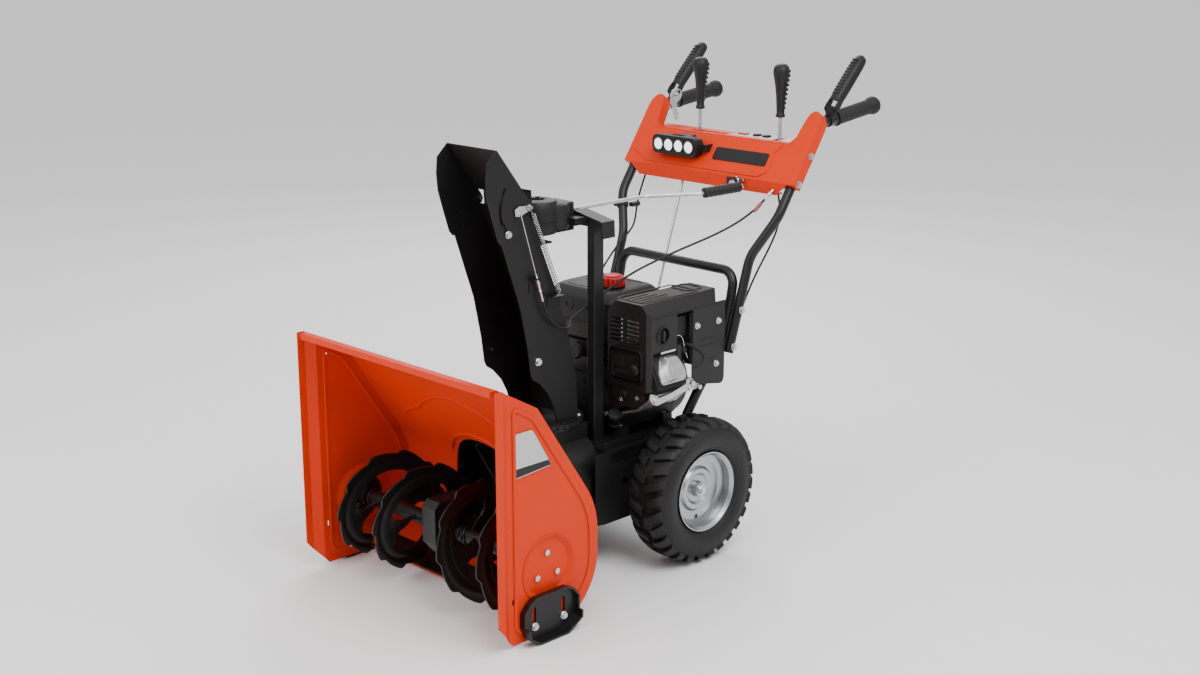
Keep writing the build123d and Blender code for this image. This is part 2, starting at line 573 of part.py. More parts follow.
def chute_deflector():
    """Tilting upper end of the chute, hinged at its rear lower corner."""
    x1 = CHUTE_HALF + DEFLECTOR_GAP + SHEET
    side = [(HINGE_Y + 10, HINGE_Z - 10), (HINGE_Y + 8, HINGE_Z + 8), (-427, 948), (-455, 922), (-458, 888),
            (-455, 852), (-443, 812), (-427, 762), (-418, 752), (-392, 752), (-368, 775), (HINGE_Y - 10, HINGE_Z - 16)]
    outer = prism_x(side, (-x1, x1))
    back = Vector(HINGE_Y + 8, HINGE_Z + 8, 0)
    slope = (Vector(-427, 948, 0) - back).normalized()
    normal = Vector(-slope.Y, slope.X, 0)
    corner = [back - slope * 30, back + slope * 260, back + slope * 260 + normal * 260,
              back - slope * 30 + normal * 260]
    hollow = prism_x([(p.X + normal.X * SHEET, p.Y + normal.Y * SHEET) for p in corner], (-x1 + SHEET, x1 - SHEET))
    shell = outer - hollow
    # the back wall starts above the hinge so that it clears the chute as it tilts
    low = [back - slope * 40 - normal * 30, back + slope * 16 - normal * 30, back + slope * 16 + normal * 30,
           back - slope * 40 + normal * 30]
    shell -= prism_x([(p.X, p.Y) for p in low], (-x1 + SHEET, x1 - SHEET))
    path = [guide_point(GUIDE_ANGLE - a) for a in range(0, int(DEFLECTOR_TILT) + 8, 7)]
    # the curved guide slot is in the left wall only
    for y, z in path:
        shell -= rod_x((x1 - 5, x1 + 5), y, z, HINGE_BOLT_R + 0.6)
    for a, b in zip(path, path[1:]):
        middle = ((a[0] + b[0]) / 2, (a[1] + b[1]) / 2)
        angle = degrees(atan2(b[1] - a[1], b[0] - a[0]))
        shell -= Pos(x1, *middle) * Rot(angle, 0, 0) * Box(10, hypot(b[0] - a[0], b[1] - a[1]) + 1, 8.8)
    for x in (-x1, x1):
        shell -= rod_x((x - 5, x + 5), HINGE_Y, HINGE_Z, HINGE_BOLT_R + FIT)
    return shell


def chute_bolts():
    """Hinge pins and guide bolt of the deflector, wall bolts and turntable bolts."""
    x1 = CHUTE_HALF + DEFLECTOR_GAP + SHEET + 0.4
    pin = hex_bolt((x1, HINGE_Y, HINGE_Z), (-1, 0, 0), size=2 * HINGE_BOLT_R, grip=12, washer=False)
    pin += rod_x((x1 + 1, SPRING_X + 3), HINGE_Y, HINGE_Z, 2.4)
    bolts = [pin, hex_bolt((CHUTE_HALF + 0.2, *WALL_BOLT), (-1, 0, 0), size=8, grip=8)]
    bolts += [other_side(bolt) for bolt in bolts]
    bolts.append(hex_bolt((x1, *guide_point()), (-1, 0, 0), size=2 * HINGE_BOLT_R, grip=12))
    for x, y in TURNTABLE_BOLTS:
        seat = (x, y, RING_Z + RING_THICK + 3.1)
        bolts.append(hex_bolt(seat, (0, 0, -1), size=7, grip=8, washer=False))
    return bolts


def deflector_spring():
    """Return spring (its outer envelope) on the hinge pin, its hook plate, control wire, clamp and end sleeve."""
    pin = Vector(SPRING_X, HINGE_Y, HINGE_Z)
    low = Vector(*SPRING_LOW)
    along = (low - pin).normalized()
    top = pin + along * 11
    coil = rod(tuple(top), SPRING_LOW, SPRING_R) - rod(tuple(top - along), tuple(low + along), SPRING_R - 2)
    hook = rod(tuple(pin + along * 2.6), tuple(top + along * 4), 1.2)
    hook += rod((SPRING_X - 3.2, *tuple(top + along * 3)[1:]), (SPRING_X + 3.2, *tuple(top + along * 3)[1:]), 1.2)
    wall = CHUTE_HALF
    y, z = SPRING_LOW[1:]
    plate = block((wall + 0.1, SPRING_X + 3), (y - 16, y + 6), (z - 6, z - 2.1))
    direction = (Vector(*WIRE_LOW) - Vector(*WIRE_TOP)).normalized()
    guide = Vector(*WIRE_LOW)
    wire = rod(WIRE_TOP, tuple(guide - direction * 3), 1.2)
    y, z = WIRE_LOW[1:]
    clamp = block((wall + 0.1, wall + 15), (y - 8, y + 8), (z - 2, z + 2))
    sleeve = rod(tuple(guide - direction * 6), tuple(guide + direction * SLEEVE_LENGTH), 3.4)
    sleeve -= rod(tuple(guide - direction * 7), tuple(guide - direction * 2), 1.5)
    return [coil + hook, plate, wire, clamp + sleeve]


# ---------------------------------------------------------------- chute head, post and crank
def chute_head():
    """Gear case that turns the chute, with its output pin, front lobes and the arm over the post."""
    x, y, z = HEAD_X, HEAD_Y, HEAD_Z
    case = block((x[0], x[1]), (y[0] + 34, y[1]), z)
    case = fillet(case.edges().filter_by(Axis.Z), 9)
    case = fillet(case.faces().sort_by(Axis.Z)[-1].edges(), 4)
    lobe = rod_z(x[1] - 21, y[0] + 27, (z[0], z[1] - 4), 20)
    lobe = fillet(lobe.faces().sort_by(Axis.Z)[-1].edges(), 4)
    left = block((x[0] + 1, x[0] + 25), (y[0] + 6, y[0] + 60), (z[0], z[1] - 1))
    left = fillet(left.edges().filter_by(Axis.Z), 8)
    left = fillet(left.faces().sort_by(Axis.Z)[-1].edges(), 4)
    case += lobe + left
    case += block((x[0] + 4, x[1] - 4), (y[0] + 14, y[0] + 60), (z[0], z[0] + 22))
    arm_end = POST_X[1] + 22
    arm = prism_y([(x[1] - 8, POST_TOP_Z), (arm_end, POST_TOP_Z), (arm_end + 3, POST_TOP_Z - 22),
                   (arm_end + 8, POST_TOP_Z - 22), (arm_end + 6, POST_TOP_Z + 14), (x[1] - 8, POST_TOP_Z + 30)],
                  (POST_Y[0] - 4, POST_Y[1] + 4))
    arm += block((x[1] - 8, POST_X[0]), (y[1] - 30, POST_Y[0]), (POST_TOP_Z + 4, POST_TOP_Z + 20))
    case += arm
    case += rod_z(0, CHUTE_Y, (BRACKET_Z - 8, z[0] + 10), OUTPUT_PIN_R)
    axis, out = crank_frame()
    start = Vector(*CRANK_START)
    case -= rod(tuple(start - axis * 18), tuple(start + axis * 18), CRANK_ROD_R + FIT)
    return case


def chute_post():
    """Rectangular tube from the frame deck up to the head."""
    post = block(POST_X, POST_Y, (DECK_Z, POST_TOP_Z))
    post = fillet(post.edges().filter_by(Axis.Z), 2)
    wall = 2.0
    hollow_x, hollow_y = (POST_X[0] + wall, POST_X[1] - wall), (POST_Y[0] + wall, POST_Y[1] - wall)
    post -= block(hollow_x, hollow_y, (DECK_Z - 1, POST_TOP_Z + 1))
    post += block((POST_X[0] - 8, POST_X[1] + 16), (POST_Y[0] - 10, POST_Y[1] + 4), (DECK_Z, DECK_Z + 3))
    return post


def crank_frame():
    """Unit vectors of the crank: along its axis, and out to the grip (level, towards the front left)."""
    axis = (Vector(*EYE) - Vector(*CRANK_START)).normalized()
    out = Vector(0, 0, 1).cross(axis)
    out = -out.normalized()
    return axis, out


def crank_points():
    axis, out = crank_frame()
    eye = Vector(*EYE)
    start = Vector(*CRANK_START) - axis * 16
    leave = eye - axis * 245
    near = eye - axis * 140 + out * CRANK_THROW
    far = eye - axis * 20 + out * CRANK_THROW
    back = eye - axis * 20
    return start, leave, near, far, back, eye + axis * 9


def crank_rod():
    """Bent steel rod: a long shaft, the throw that carries the grip, and the end journal in the eye."""
    return bent_tube([tuple(p) for p in crank_points()], [25, 25, 9, 9], CRANK_ROD_R)


def crank_grip():
    points = crank_points()
    axis, out = crank_frame()
    start, end = points[2] + axis * 10, points[3] - axis * 12
    grip = rod(tuple(start), tuple(end), CRANK_GRIP_R)
    grip = fillet(grip.edges().filter_by(GeomType.CIRCLE), 3)
    return grip - rod(tuple(start - axis * 5), tuple(end + axis * 5), CRANK_ROD_R)


def crank_eye():
    """Eye bolt and its base plate on the console's lower strip."""
    axis, out = crank_frame()
    eye = Vector(*EYE)
    ring = rod(tuple(eye - axis * 4), tuple(eye + axis * 4), 10.5)
    ring -= rod(tuple(eye - axis * 5), tuple(eye + axis * 5), CRANK_ROD_R + FIT + 0.7)
    ring += block((EYE[0] - 18, EYE[0] - 9), (EYE[1] - 3, FOLD_Y), (EYE[2] - 6, EYE[2] + 2))
    ring += block((EYE[0] - 42, EYE[0] - 9), (FOLD_Y - 2.5, FOLD_Y), (FOLD_Z - 22, FOLD_Z - 2))
    return ring


# ---------------------------------------------------------------- tractor frame and wheels
def tractor_frame():
    """Folded side plates, rear plate, deck with its front opening, and the plate behind the barrel."""
    x0, x1 = FRAME_HALF - PLATE, FRAME_HALF
    outline = [(FRAME_FRONT_Y, FRAME_BOTTOM_Z + 4), (FRAME_FRONT_Y, DECK_Z), (FRAME_REAR_Y, DECK_Z),
               (FRAME_REAR_Y, FRAME_BOTTOM_Z + 30), (FRAME_REAR_Y - 60, FRAME_BOTTOM_Z),
               (FRAME_FRONT_Y + 30, FRAME_BOTTOM_Z)]
    side = prism_x(outline, (x0, x1))
    for y, z in FOOT_BOLTS:
        side -= rod_x((x0 - 1, x1 + 1), y, z, 3 + HOLE)
    side -= rod_x((x0 - 1, x1 + 1), FRAME_FRONT_Y + 91, 192, 10)
    side -= rod_x((x0 - 1, x1 + 1), 0, AXLE_Z, AXLE_R + 7.0)
    side -= block((x0 - 1, x1 + 1), (-176, -62), (240, DECK_Z - 8))
    side += ring_x((x0 - 9, x1 + 3), 0, AXLE_Z, AXLE_R + 7.0, AXLE_R + FIT)
    deck = block((-x0, x0), (DRUM_BACK_Y + 4, FRAME_REAR_Y), (DECK_Z - PLATE, DECK_Z))
    deck -= block((-IMPELLER_PULLEY_R - 10, 55), (PULLEY_Y - 14, PULLEY_Y + 14), (DECK_Z - 10, DECK_Z + 1))
    rear = block((-x0, x0), (FRAME_REAR_Y - PLATE, FRAME_REAR_Y), (FRAME_BOTTOM_Z + 32, DECK_Z))
    rear -= block((SHIFT_ROD_X - SHIFT_ROD_R - FIT, SHIFT_ROD_X + SHIFT_ROD_R + FIT),
                  (FRAME_REAR_Y - 5, FRAME_REAR_Y + 1), (SHIFT_ROD_LOW_Z - 12, SHIFT_ROD_LOW_Z + 16))
    floor = block((-x0, x0), (DRUM_BACK_Y + 20, FRAME_REAR_Y - 60), (FRAME_BOTTOM_Z, FRAME_BOTTOM_Z + 2))
    bulkhead = block((-x0, x0), (DRUM_BACK_Y, DRUM_BACK_Y + PLATE), (FRAME_BOTTOM_Z, DECK_Z))
    bulkhead -= rod_y(0, (DRUM_BACK_Y - 5, DRUM_BACK_Y + 15), IMPELLER_Z, 24)
    frame = side + other_side(side) + deck + rear + floor + bulkhead
    return frame


def impeller_bearing():
    """Flanged impeller bearing on the bulkhead."""
    y0 = DRUM_BACK_Y + PLATE
    bearing = rod_y(0, (y0, y0 + 5), IMPELLER_Z, 38) + rod_y(0, (y0, y0 + 16), IMPELLER_Z, 24)
    return bearing - rod_y(0, (y0 - 1, y0 + 17), IMPELLER_Z, IMPELLER_SHAFT_R + FIT)


def belt_cover():
    """Moulded cover over the upper belt run, between the barrel and the engine."""
    x = (-92.0, 54.0)
    y = (PULLEY_Y - 17, BLOCK_FRONT_Y - 1.5)
    z = (DECK_Z, 404.0)
    cover = block(x, y, z)
    cover = fillet(cover.edges().filter_by(Axis.Y).sort_by(Axis.Z)[-2:], 34)
    cover -= block((x[0] + 2.5, x[1] - 2.5), (y[0] + 2.5, y[1] + 5), (z[0] - 1, z[1] - 36))
    cover -= rod_y(0, (y[0] + 2.5, y[1] + 5), CRANK_Z, ENGINE_PULLEY_R + 6)
    for k in range(4):
        rib_x = x[0] + 22 + 30 * k
        cover += block((rib_x, rib_x + 4), (y[0] - 2, y[0] + 1), (z[0] + 12, RING_Z - 9))
    return cover


def engine_pulley():
    """Crankshaft stub with its belt pulley."""
    shaft = rod_y(0, (PULLEY_Y - 11, BLOCK_FRONT_Y + 60), CRANK_Z, 11)
    return shaft + Pos(0, PULLEY_Y, CRANK_Z) * pulley(ENGINE_PULLEY_R, 10)


def drive_belt():
    """V-belt round both pulleys as a closed loop; it clears the pulley flanks."""
    top, low = ENGINE_PULLEY_R - 4.0, IMPELLER_PULLEY_R - 4.0
    outer = hull_of_two(top, low)
    inner = hull_of_two(top - 4.6, low - 4.6)
    plane = Plane((0, PULLEY_Y + 2.0, 0), x_dir=(1, 0, 0), z_dir=(0, -1, 0))
    return extrude(plane * (outer - inner), 4.0)


def hull_of_two(upper, lower):
    """Outline of a belt round two circles on the vertical centre line, in (x, z)."""
    rise = CRANK_Z - IMPELLER_Z
    lean = atan2(lower - upper, sqrt(rise * rise - (lower - upper) ** 2))
    up = (upper * cos(lean), CRANK_Z + upper * sin(lean))
    down = (lower * cos(lean), IMPELLER_Z + lower * sin(lean))
    edges = [Line(down, up), ThreePointArc(up, (0, CRANK_Z + upper), (-up[0], up[1])),
             Line((-up[0], up[1]), (-down[0], down[1])),
             ThreePointArc((-down[0], down[1]), (0, IMPELLER_Z - lower), down)]
    return make_face(edges)


def axle():
    end = TYRE_INNER_X + TYRE_WIDTH - 26
    return rod_x((-end, end), 0, AXLE_Z, AXLE_R)


def rim_left():
    """Stepped steel rim with its hub tube."""
    inner, outer = TYRE_INNER_X + 12, TYRE_INNER_X + TYRE_WIDTH - 8
    r = RIM_RADIUS
    seat = r - 8
    bore = AXLE_R + HOLE
    profile = [(inner, r), (inner + 2.5, r), (inner + 4, seat + 2), (inner + 30, seat + 2), (inner + 34, seat - 9),
               (outer - 34, seat - 9), (outer - 30, seat + 2), (outer - 4, seat + 2), (outer - 2.5, r), (outer, r),
               (outer, r - 2.5), (outer - 6, seat - 0.5), (outer - 27, seat - 0.5), (outer - 31, seat - 11.5),
               (outer - 33, 52), (outer - 27, 46), (outer - 27, 36), (outer - 32, 30), (outer - 32, 18),
               (outer - 18, 16), (outer - 18, bore), (inner + 6, bore), (inner + 6, 16), (outer - 34.5, 16),
               (outer - 34.5, 31), (outer - 29.5, 37), (outer - 29.5, 45), (outer - 35.5, 51),
               (inner + 32, seat - 11.5), (inner + 28, seat - 0.5), (inner + 6, seat - 0.5), (inner, r - 2.5)]
    rim = revolve(make_face(Polyline(*profile, close=True)), axis=Axis.X)
    rim -= rod_x((outer - 40, outer), 0, -66, 5.5)
    return Pos(0, 0, AXLE_Z) * rim


def tyre_left():
    """Closed ring with rounded shoulders; the lugs' outer envelope is its outer surface."""
    x0, x1 = TYRE_INNER_X, TYRE_INNER_X + TYRE_WIDTH
    mid = (x0 + x1) / 2
    r = WHEEL_RADIUS
    seat = RIM_RADIUS - 8 + 2 + FIT
    edges = [
        Line((x0 + 16.5, seat), (x0 + 15, RIM_RADIUS + 0.5)),
        Line((x0 + 15, RIM_RADIUS + 0.5), (x0 + 10.5, RIM_RADIUS + 3)),
        ThreePointArc((x0 + 10.5, RIM_RADIUS + 3), (x0, (r + RIM_RADIUS) / 2), (x0 + 13, r - 7)),
        ThreePointArc((x0 + 13, r - 7), (mid, r), (x1 - 13, r - 7)),
        ThreePointArc((x1 - 13, r - 7), (x1, (r + RIM_RADIUS) / 2), (x1 - 6.5, RIM_RADIUS + 3)),
        Line((x1 - 6.5, RIM_RADIUS + 3), (x1 - 11, RIM_RADIUS + 0.5)),
        Line((x1 - 11, RIM_RADIUS + 0.5), (x1 - 12.5, seat)),
        Line((x1 - 12.5, seat), (x0 + 16.5, seat)),
    ]
    tyre = revolve(make_face(edges), axis=Axis.X)
    return Pos(0, 0, AXLE_Z) * tyre


def hub_hardware():
    """Hub bolt at each axle end and the spacers between frame and rims."""
    end = TYRE_INNER_X + TYRE_WIDTH - 26
    seat = (end + 0.2, 0, AXLE_Z)
    bolt = hex_bolt(seat, (-1, 0, 0), size=11, grip=0.1, washer=True)
    collar = ring_x((FRAME_HALF + 4, TYRE_INNER_X + 17.5), 0, AXLE_Z, AXLE_R + 5, AXLE_R + HOLE)
    return both(bolt) + both(collar)


# ---------------------------------------------------------------- engine
def engine_block():
    """Crankcase on its mounting feet, with the finned barrel leaning out to the left."""
    y = (BLOCK_FRONT_Y, BLOCK_REAR_Y)
    case = prism_y([(-84, DECK_Z + 9), (84, DECK_Z + 9), (92, DECK_Z + 40), (92, CRANK_Z + 42), (40, CRANK_Z + 92),
                    (-70, CRANK_Z + 92), (-92, CRANK_Z + 60), (-92, DECK_Z + 40)], (y[0] + 12, y[1]))
    case = fillet(case.edges().filter_by(Axis.Y), 6)
    for fx in (-98, 66):
        for fy in (y[0] + 14, y[1] - 44):
            case += block((fx, fx + 32), (fy, fy + 30), (DECK_Z, DECK_Z + 22))
    boss = rod_y(0, (y[0], y[0] + 20), CRANK_Z, 52) + rod_y(0, (y[0] + 2, y[0] + 20), CRANK_Z, 66)
    case += boss
    barrel = Box(BARREL_LENGTH, BARREL_SIDE, BARREL_SIDE)
    for k in range(5):
        barrel -= Pos(-30 + 20 * k, 0, 0) * (Box(9, BARREL_SIDE + 8, BARREL_SIDE + 8) - Box(12, 76, 76))
    case += BARREL_PLACE * barrel
    case -= rod_y(0, (y[0] - 1, BLOCK_FRONT_Y + 62), CRANK_Z, 11 + FIT)
    case -= rod_y(RECOIL_HANDLE_X, (0, y[1] + 1), RECOIL_HANDLE_Z, 3.0)
    return case


def valve_cover():
    """Cylinder head with its ribbed bright cover."""
    head = Box(26, 96, 84)
    cover = Box(30, 74, 62)
    cover = fillet(cover.faces().sort_by(Axis.X)[-1].edges(), 9)
    head = BARREL_PLACE * Pos(BARREL_LENGTH / 2 + 13, 0, 0) * head
    cover = BARREL_PLACE * Pos(BARREL_LENGTH / 2 + 26 + 15, 0, 0) * cover
    plug = rod((206, 0, CRANK_Z + 92), (232, 10, CRANK_Z + 98), 8)
    return head + cover + plug


def engine_shroud():
    """Black hood over the carburettor and silencer, open below and at the right."""
    x, y, z = SHROUD_X, SHROUD_Y, SHROUD_Z
    outline = [(x[0], z[0]), (x[0], z[1] - 26), (x[0] + 24, z[1]), (x[1] - 22, z[1]), (x[1], z[1] - 22), (x[1], z[0])]
    hood = prism_y(outline, y)
    hood &= prism_z([(x[0], y[0]), (x[1] - 8, y[0]), (x[1], y[0] + 8), (x[1], y[1] - 24), (x[1] - 24, y[1]), (x[0], y[1])],
                    (z[0] - 1, z[1] + 1))
    wall = 3.0
    inner = [(x[0] - 1, z[0] - 1), (x[0] - 1, z[1] - 27), (x[0] + 25, z[1] - wall), (x[1] - 23, z[1] - wall),
             (x[1] - wall, z[1] - 23), (x[1] - wall, z[0] - 1)]
    hood -= prism_y(inner, (y[0] + wall, y[1] - wall)) & prism_z(
        [(x[0] - 2, y[0] + wall), (x[1] - 9, y[0] + wall), (x[1] - wall, y[0] + 9), (x[1] - wall, y[1] - 25),
         (x[1] - 25, y[1] - wall), (x[0] - 2, y[1] - wall)], (z[0] - 2, z[1] + 1))
    # left face: control hole, side opening, and the cut-out round the valve cover
    hood -= rod_x((x[1] - 10, x[1] + 5), -64, 519, 17)
    hood -= block((x[1] - 10, x[1] + 5), (-20, 31), (z[0] - 1, 560))
    hood -= block((x[1] - 10, x[1] + 5), (y[0] + 14, 25), (z[0] - 1, 484))
    hood -= prism_x([(-20, z[0] - 1), (-20, z[0] + 18), (44, z[0] + 18), (66, z[0] - 1)], (x[1] - 10, x[1] + 5))
    # notch where the lower handle passes the rear corner
    hood -= block((x[1] - 42, x[1] - 10), (y[1] - 40, y[1] + 1), (z[0] - 1, z[0] + 50))
    # heat shield on the left, reaching behind and below the hood
    shield = [(31.2, z[0] - 8), (y[1] - 4, z[0] - 25), (y[1] + 5, z[0] - 22), (y[1] + 9, z[0] - 12),
              (y[1] + 9, z[1] - 25), (31.2, z[1] - 25)]
    hood += prism_x(shield, (x[1] - wall, x[1]))
    # front louvres in two columns
    for column in (84, 132):
        for k in range(6):
            hood -= block((column, column + 38), (y[0] - 1, y[0] + wall + 1), (500 + 9.5 * k, 504.5 + 9.5 * k))
    # top slots
    for k in range(4):
        slot_x = x[0] + 34 + 15 * k
        hood -= block((slot_x, slot_x + 5), (y[0] + 22, y[0] + 118 - 14 * abs(k - 2)), (z[1] - 5, z[1] + 1))
    return hood


def fuel_tank():
    """Pressed steel tank with its filler neck."""
    tank = block(TANK_X, TANK_Y, TANK_Z)
    tank = fillet(tank.edges().filter_by(Axis.Z), 28)
    tank = fillet(tank.faces().sort_by(Axis.Z)[-1].edges(), 16)
    tank = fillet(tank.faces().sort_by(Axis.Z)[0].edges(), 10)
    mid = (TANK_Z[0] + TANK_Z[1]) / 2 - 14
    seam = block((TANK_X[0] - 3, TANK_X[1] + 3), (TANK_Y[0] - 3, TANK_Y[1] + 3), (mid, mid + 2.5))
    tank += fillet(seam.edges().filter_by(Axis.Z), 30)
    for fx in (-68, 12):
        tank += block((fx, fx + 26), (-20, 20), (CRANK_Z + 92.2, TANK_Z[0] + 12))
    tank += rod_z(CAP_X, CAP_Y, (TANK_Z[1] - 8, TANK_Z[1] + 6), 19)
    hollow = block((TANK_X[0] + SHEET, TANK_X[1] - SHEET), (TANK_Y[0] + SHEET, TANK_Y[1] - SHEET),
                   (TANK_Z[0] + SHEET, TANK_Z[1] - SHEET))
    hollow = fillet(hollow.edges().filter_by(Axis.Z), 26)
    hollow = fillet(hollow.faces().sort_by(Axis.Z)[-1].edges(), 14)
    hollow = fillet(hollow.faces().sort_by(Axis.Z)[0].edges(), 8)
    return tank - hollow - rod_z(CAP_X, CAP_Y, (TANK_Z[1] - 20, TANK_Z[1] + 7), 16)


def fuel_cap():
    z0 = TANK_Z[1] + 1.0
    cap = rod_z(CAP_X, CAP_Y, (z0, z0 + 24), CAP_R)
    cap = fillet(cap.faces().sort_by(Axis.Z)[-1].edges(), 4)
    for k in range(16):
        angle = radians(22.5 * k)
        cap -= rod_z(CAP_X + (CAP_R + 1) * cos(angle), CAP_Y + (CAP_R + 1) * sin(angle), (z0 - 1, z0 + 19), 2.6)
    cap -= rod_z(CAP_X, CAP_Y, (z0 - 1, z0 + 12), 19 + FIT)
    return cap


def recoil_cover():
    """Domed starter cover at the rear of the engine."""
    y0, y1 = BLOCK_REAR_Y, BLOCK_REAR_Y + RECOIL_DEPTH
    cover = rod_y(0, (y0, y1), CRANK_Z + 4, RECOIL_R - 14)
    cover = fillet(cover.faces().sort_by(Axis.Y)[-1].edges(), 16)
    cover += rod_y(0, (y0, y0 + 26), CRANK_Z + 4, RECOIL_R - 8)
    for k in range(12):
        angle = radians(30 * k)
        spot = (38 * cos(angle), CRANK_Z + 4 + 38 * sin(angle))
        if hypot(spot[0] - RECOIL_HANDLE_X, spot[1] - RECOIL_HANDLE_Z) > 24:
            cover -= rod_y(spot[0], (y1 - 6, y1 + 1), spot[1], 5)
    cover -= rod_y(RECOIL_HANDLE_X, (y0 - 1, y1 + 1), RECOIL_HANDLE_Z, 3.0)
    # lower edge relieved over the rear of the deck
    cover -= block((-RECOIL_R, RECOIL_R), (y0 - 1, FRAME_REAR_Y + FIT), (CRANK_Z - RECOIL_R, DECK_Z + 0.2))
    return cover


def recoil_handle():
    """T handle with the length of cord that is pulled out here."""
    y1 = BLOCK_REAR_Y + RECOIL_DEPTH
    cord = rod_y(RECOIL_HANDLE_X, (y1 - PULL_LENGTH - 6, y1 + 6), RECOIL_HANDLE_Z, 2.0)
    x, z = RECOIL_HANDLE_X, RECOIL_HANDLE_Z
    bar = block((x - 28, x + 28), (y1 + 5, y1 + 17), (z - 8, z + 8))
    bar = fillet(bar.edges(), 5)
    stem = rod_y(RECOIL_HANDLE_X, (y1 + 0.5, y1 + 8), RECOIL_HANDLE_Z, 7)
    return bar + stem + cord


def muffler():
    """Silencer box under the hood."""
    can = block((SHROUD_X[0] + 12, SHROUD_X[1] - 14), (42, SHROUD_Y[1] - 14), (SHROUD_Z[0] + 32, SHROUD_Z[1] - 36))
    can = fillet(can.edges(), 8)
    can -= block((SHROUD_X[0] + 15, SHROUD_X[1] - 17), (45, SHROUD_Y[1] - 17), (SHROUD_Z[0] + 35, SHROUD_Z[1] - 39))
    can -= rod_y(120, (SHROUD_Y[1] - 20, SHROUD_Y[1] - 10), 500, 9)
    pipe = rod((70.2, 60, CRANK_Z + 63.2), (104, 60, CRANK_Z + 98.4), 12)
    for y, z in ((57, 521), (93, 521)):
        can += rod_x((SHROUD_X[1] - 16, SHROUD_X[1] - 3.2), y, z, 7)
    return can + pipe


def air_duct():
    """Slanted guide plate under the barrel, and the carburettor under the hood."""
    duct = prism_y([(92, CRANK_Z - 22), (150, CRANK_Z - 2), (196, CRANK_Z + 38), (196, CRANK_Z + 42),
                    (148, CRANK_Z + 3), (92, CRANK_Z - 17)], (-92, 34))
    return duct


def carburettor():
    body = block((92, 150), (-88, -14), (SHROUD_Z[0] + 92, SHROUD_Z[0] + 160))
    body = fillet(body.edges(), 7)
    knob = rod_x((149, SHROUD_X[1] - 3), -64, 519, 12)
    foot = block((98, 134), (-60, -40), (CRANK_Z + 80, SHROUD_Z[0] + 94))
    foot -= BARREL_PLACE * Box(BARREL_LENGTH + 20, BARREL_SIDE + 0.4, BARREL_SIDE + 0.4)
    return body + knob + foot


# ---------------------------------------------------------------- handles
def guard_loop():
    """Lower handle: one bent tube that stands on the frame and crosses over behind the engine."""
    points = GUARD_POINTS + [(-x, y, z) for x, y, z in reversed(GUARD_POINTS)]
    radii = [60, 60, 80, 60, GUARD_RADIUS, GUARD_RADIUS, 60, 80, 60, 60]
    tube = bent_tube(points, radii, TUBE_R, TUBE_R - TUBE_WALL)
    for y, z in CROSS_BOLTS:
        tube -= rod_x((-LOWER_X, LOWER_X), y, z, 4 + HOLE)
    for y, z in FOOT_BOLTS:
        tube -= rod_x((-LOWER_X, LOWER_X), y, z, 3 + HOLE)
    return tube


def handle_points():
    return [(LOWER_X, *TUBE_FOOT), (LOWER_X, *TUBE_KNEE), (UPPER_X, *TUBE_ELBOW), (UPPER_X, *TUBE_BEND),
            (UPPER_X, *TUBE_END)]


def handle_tube():
    tube = bent_tube(handle_points(), [KNEE_RADIUS, KNEE_RADIUS, BEND_RADIUS], TUBE_R, TUBE_R - TUBE_WALL)
    for y, z in CROSS_BOLTS:
        tube -= rod_x((LOWER_X - 20, LOWER_X + 20), y, z, 4 + HOLE)
    return tube


def handle_bolts():
    """Cross bolts that clamp the upper tubes to the lower handle, and the frame and console bolts."""
    bolts = []
    for y, z in CROSS_BOLTS:
        bolts.append(hex_bolt((LOWER_X + TUBE_R + 0.2, y, z), (-1, 0, 0), size=8, grip=44))
    for y, z in FOOT_BOLTS:
        seat = (GUARD_POINTS[0][0] + TUBE_R + 0.2, y, z)
        bolts.append(hex_bolt(seat, (-1, 0, 0), size=6, grip=28, washer=False))
    for along in CONSOLE_BOLTS:
        spot = console_point(CONSOLE_HALF, along, -CONSOLE_DEPTH / 2)
        bolts.append(hex_bolt((spot[0] + 0.2, spot[1], spot[2]), (-1, 0, 0), size=8, grip=8.5))
    return bolts + [other_side(bolt) for bolt in bolts]


def grip():
    """Rubber grip on the left tube: ribbed barrel with an end bulb."""
    bend, end = Vector(UPPER_X, *TUBE_BEND), Vector(UPPER_X, *TUBE_END)
    axis = (end - bend).normalized()
    start = bend + axis * 62
    stop = Vector(UPPER_X, REAR_Y - GRIP_BULB_R * 0.12, end.Z + (REAR_Y - end.Y) * axis.Z / axis.Y)
    length = (stop - start).length
    bore = TUBE_R + HOLE
    profile = [(bore, 0), (GRIP_R + 1.5, 0), (GRIP_R + 1.5, 5), (GRIP_R - 1, 8), (GRIP_R, 40), (GRIP_R - 0.5, 90),
               (GRIP_R, length - 32), (GRIP_BULB_R, length - 14), (GRIP_BULB_R - 2, length - 3),
               (GRIP_BULB_R - 8, length), (0, length), (0, length - 8), (bore, length - 8)]
    face = Plane.XZ * make_face(Polyline(*profile, close=True))
    body = revolve(face, axis=Axis.Z)
    body = Plane(origin=start, x_dir=(1, 0, 0), z_dir=axis) * body
    return body - rod(tuple(bend), tuple(end), bore)


# ---------------------------------------------------------------- console
def console_point(x, along, proud=0.0):
    """Place on the slanted front face: along goes up the slope, proud stands out of it."""
    c, s = cos(TUBE_SLOPE), sin(TUBE_SLOPE)
    return (x, FOLD_Y + along * c - proud * s, FOLD_Z + along * s + proud * c)


def console_plane(proud=0.0):
    origin = console_point(0, 0, proud)
    return Plane(origin=origin, x_dir=(1, 0, 0), z_dir=(0, -sin(TUBE_SLOPE), cos(TUBE_SLOPE)))


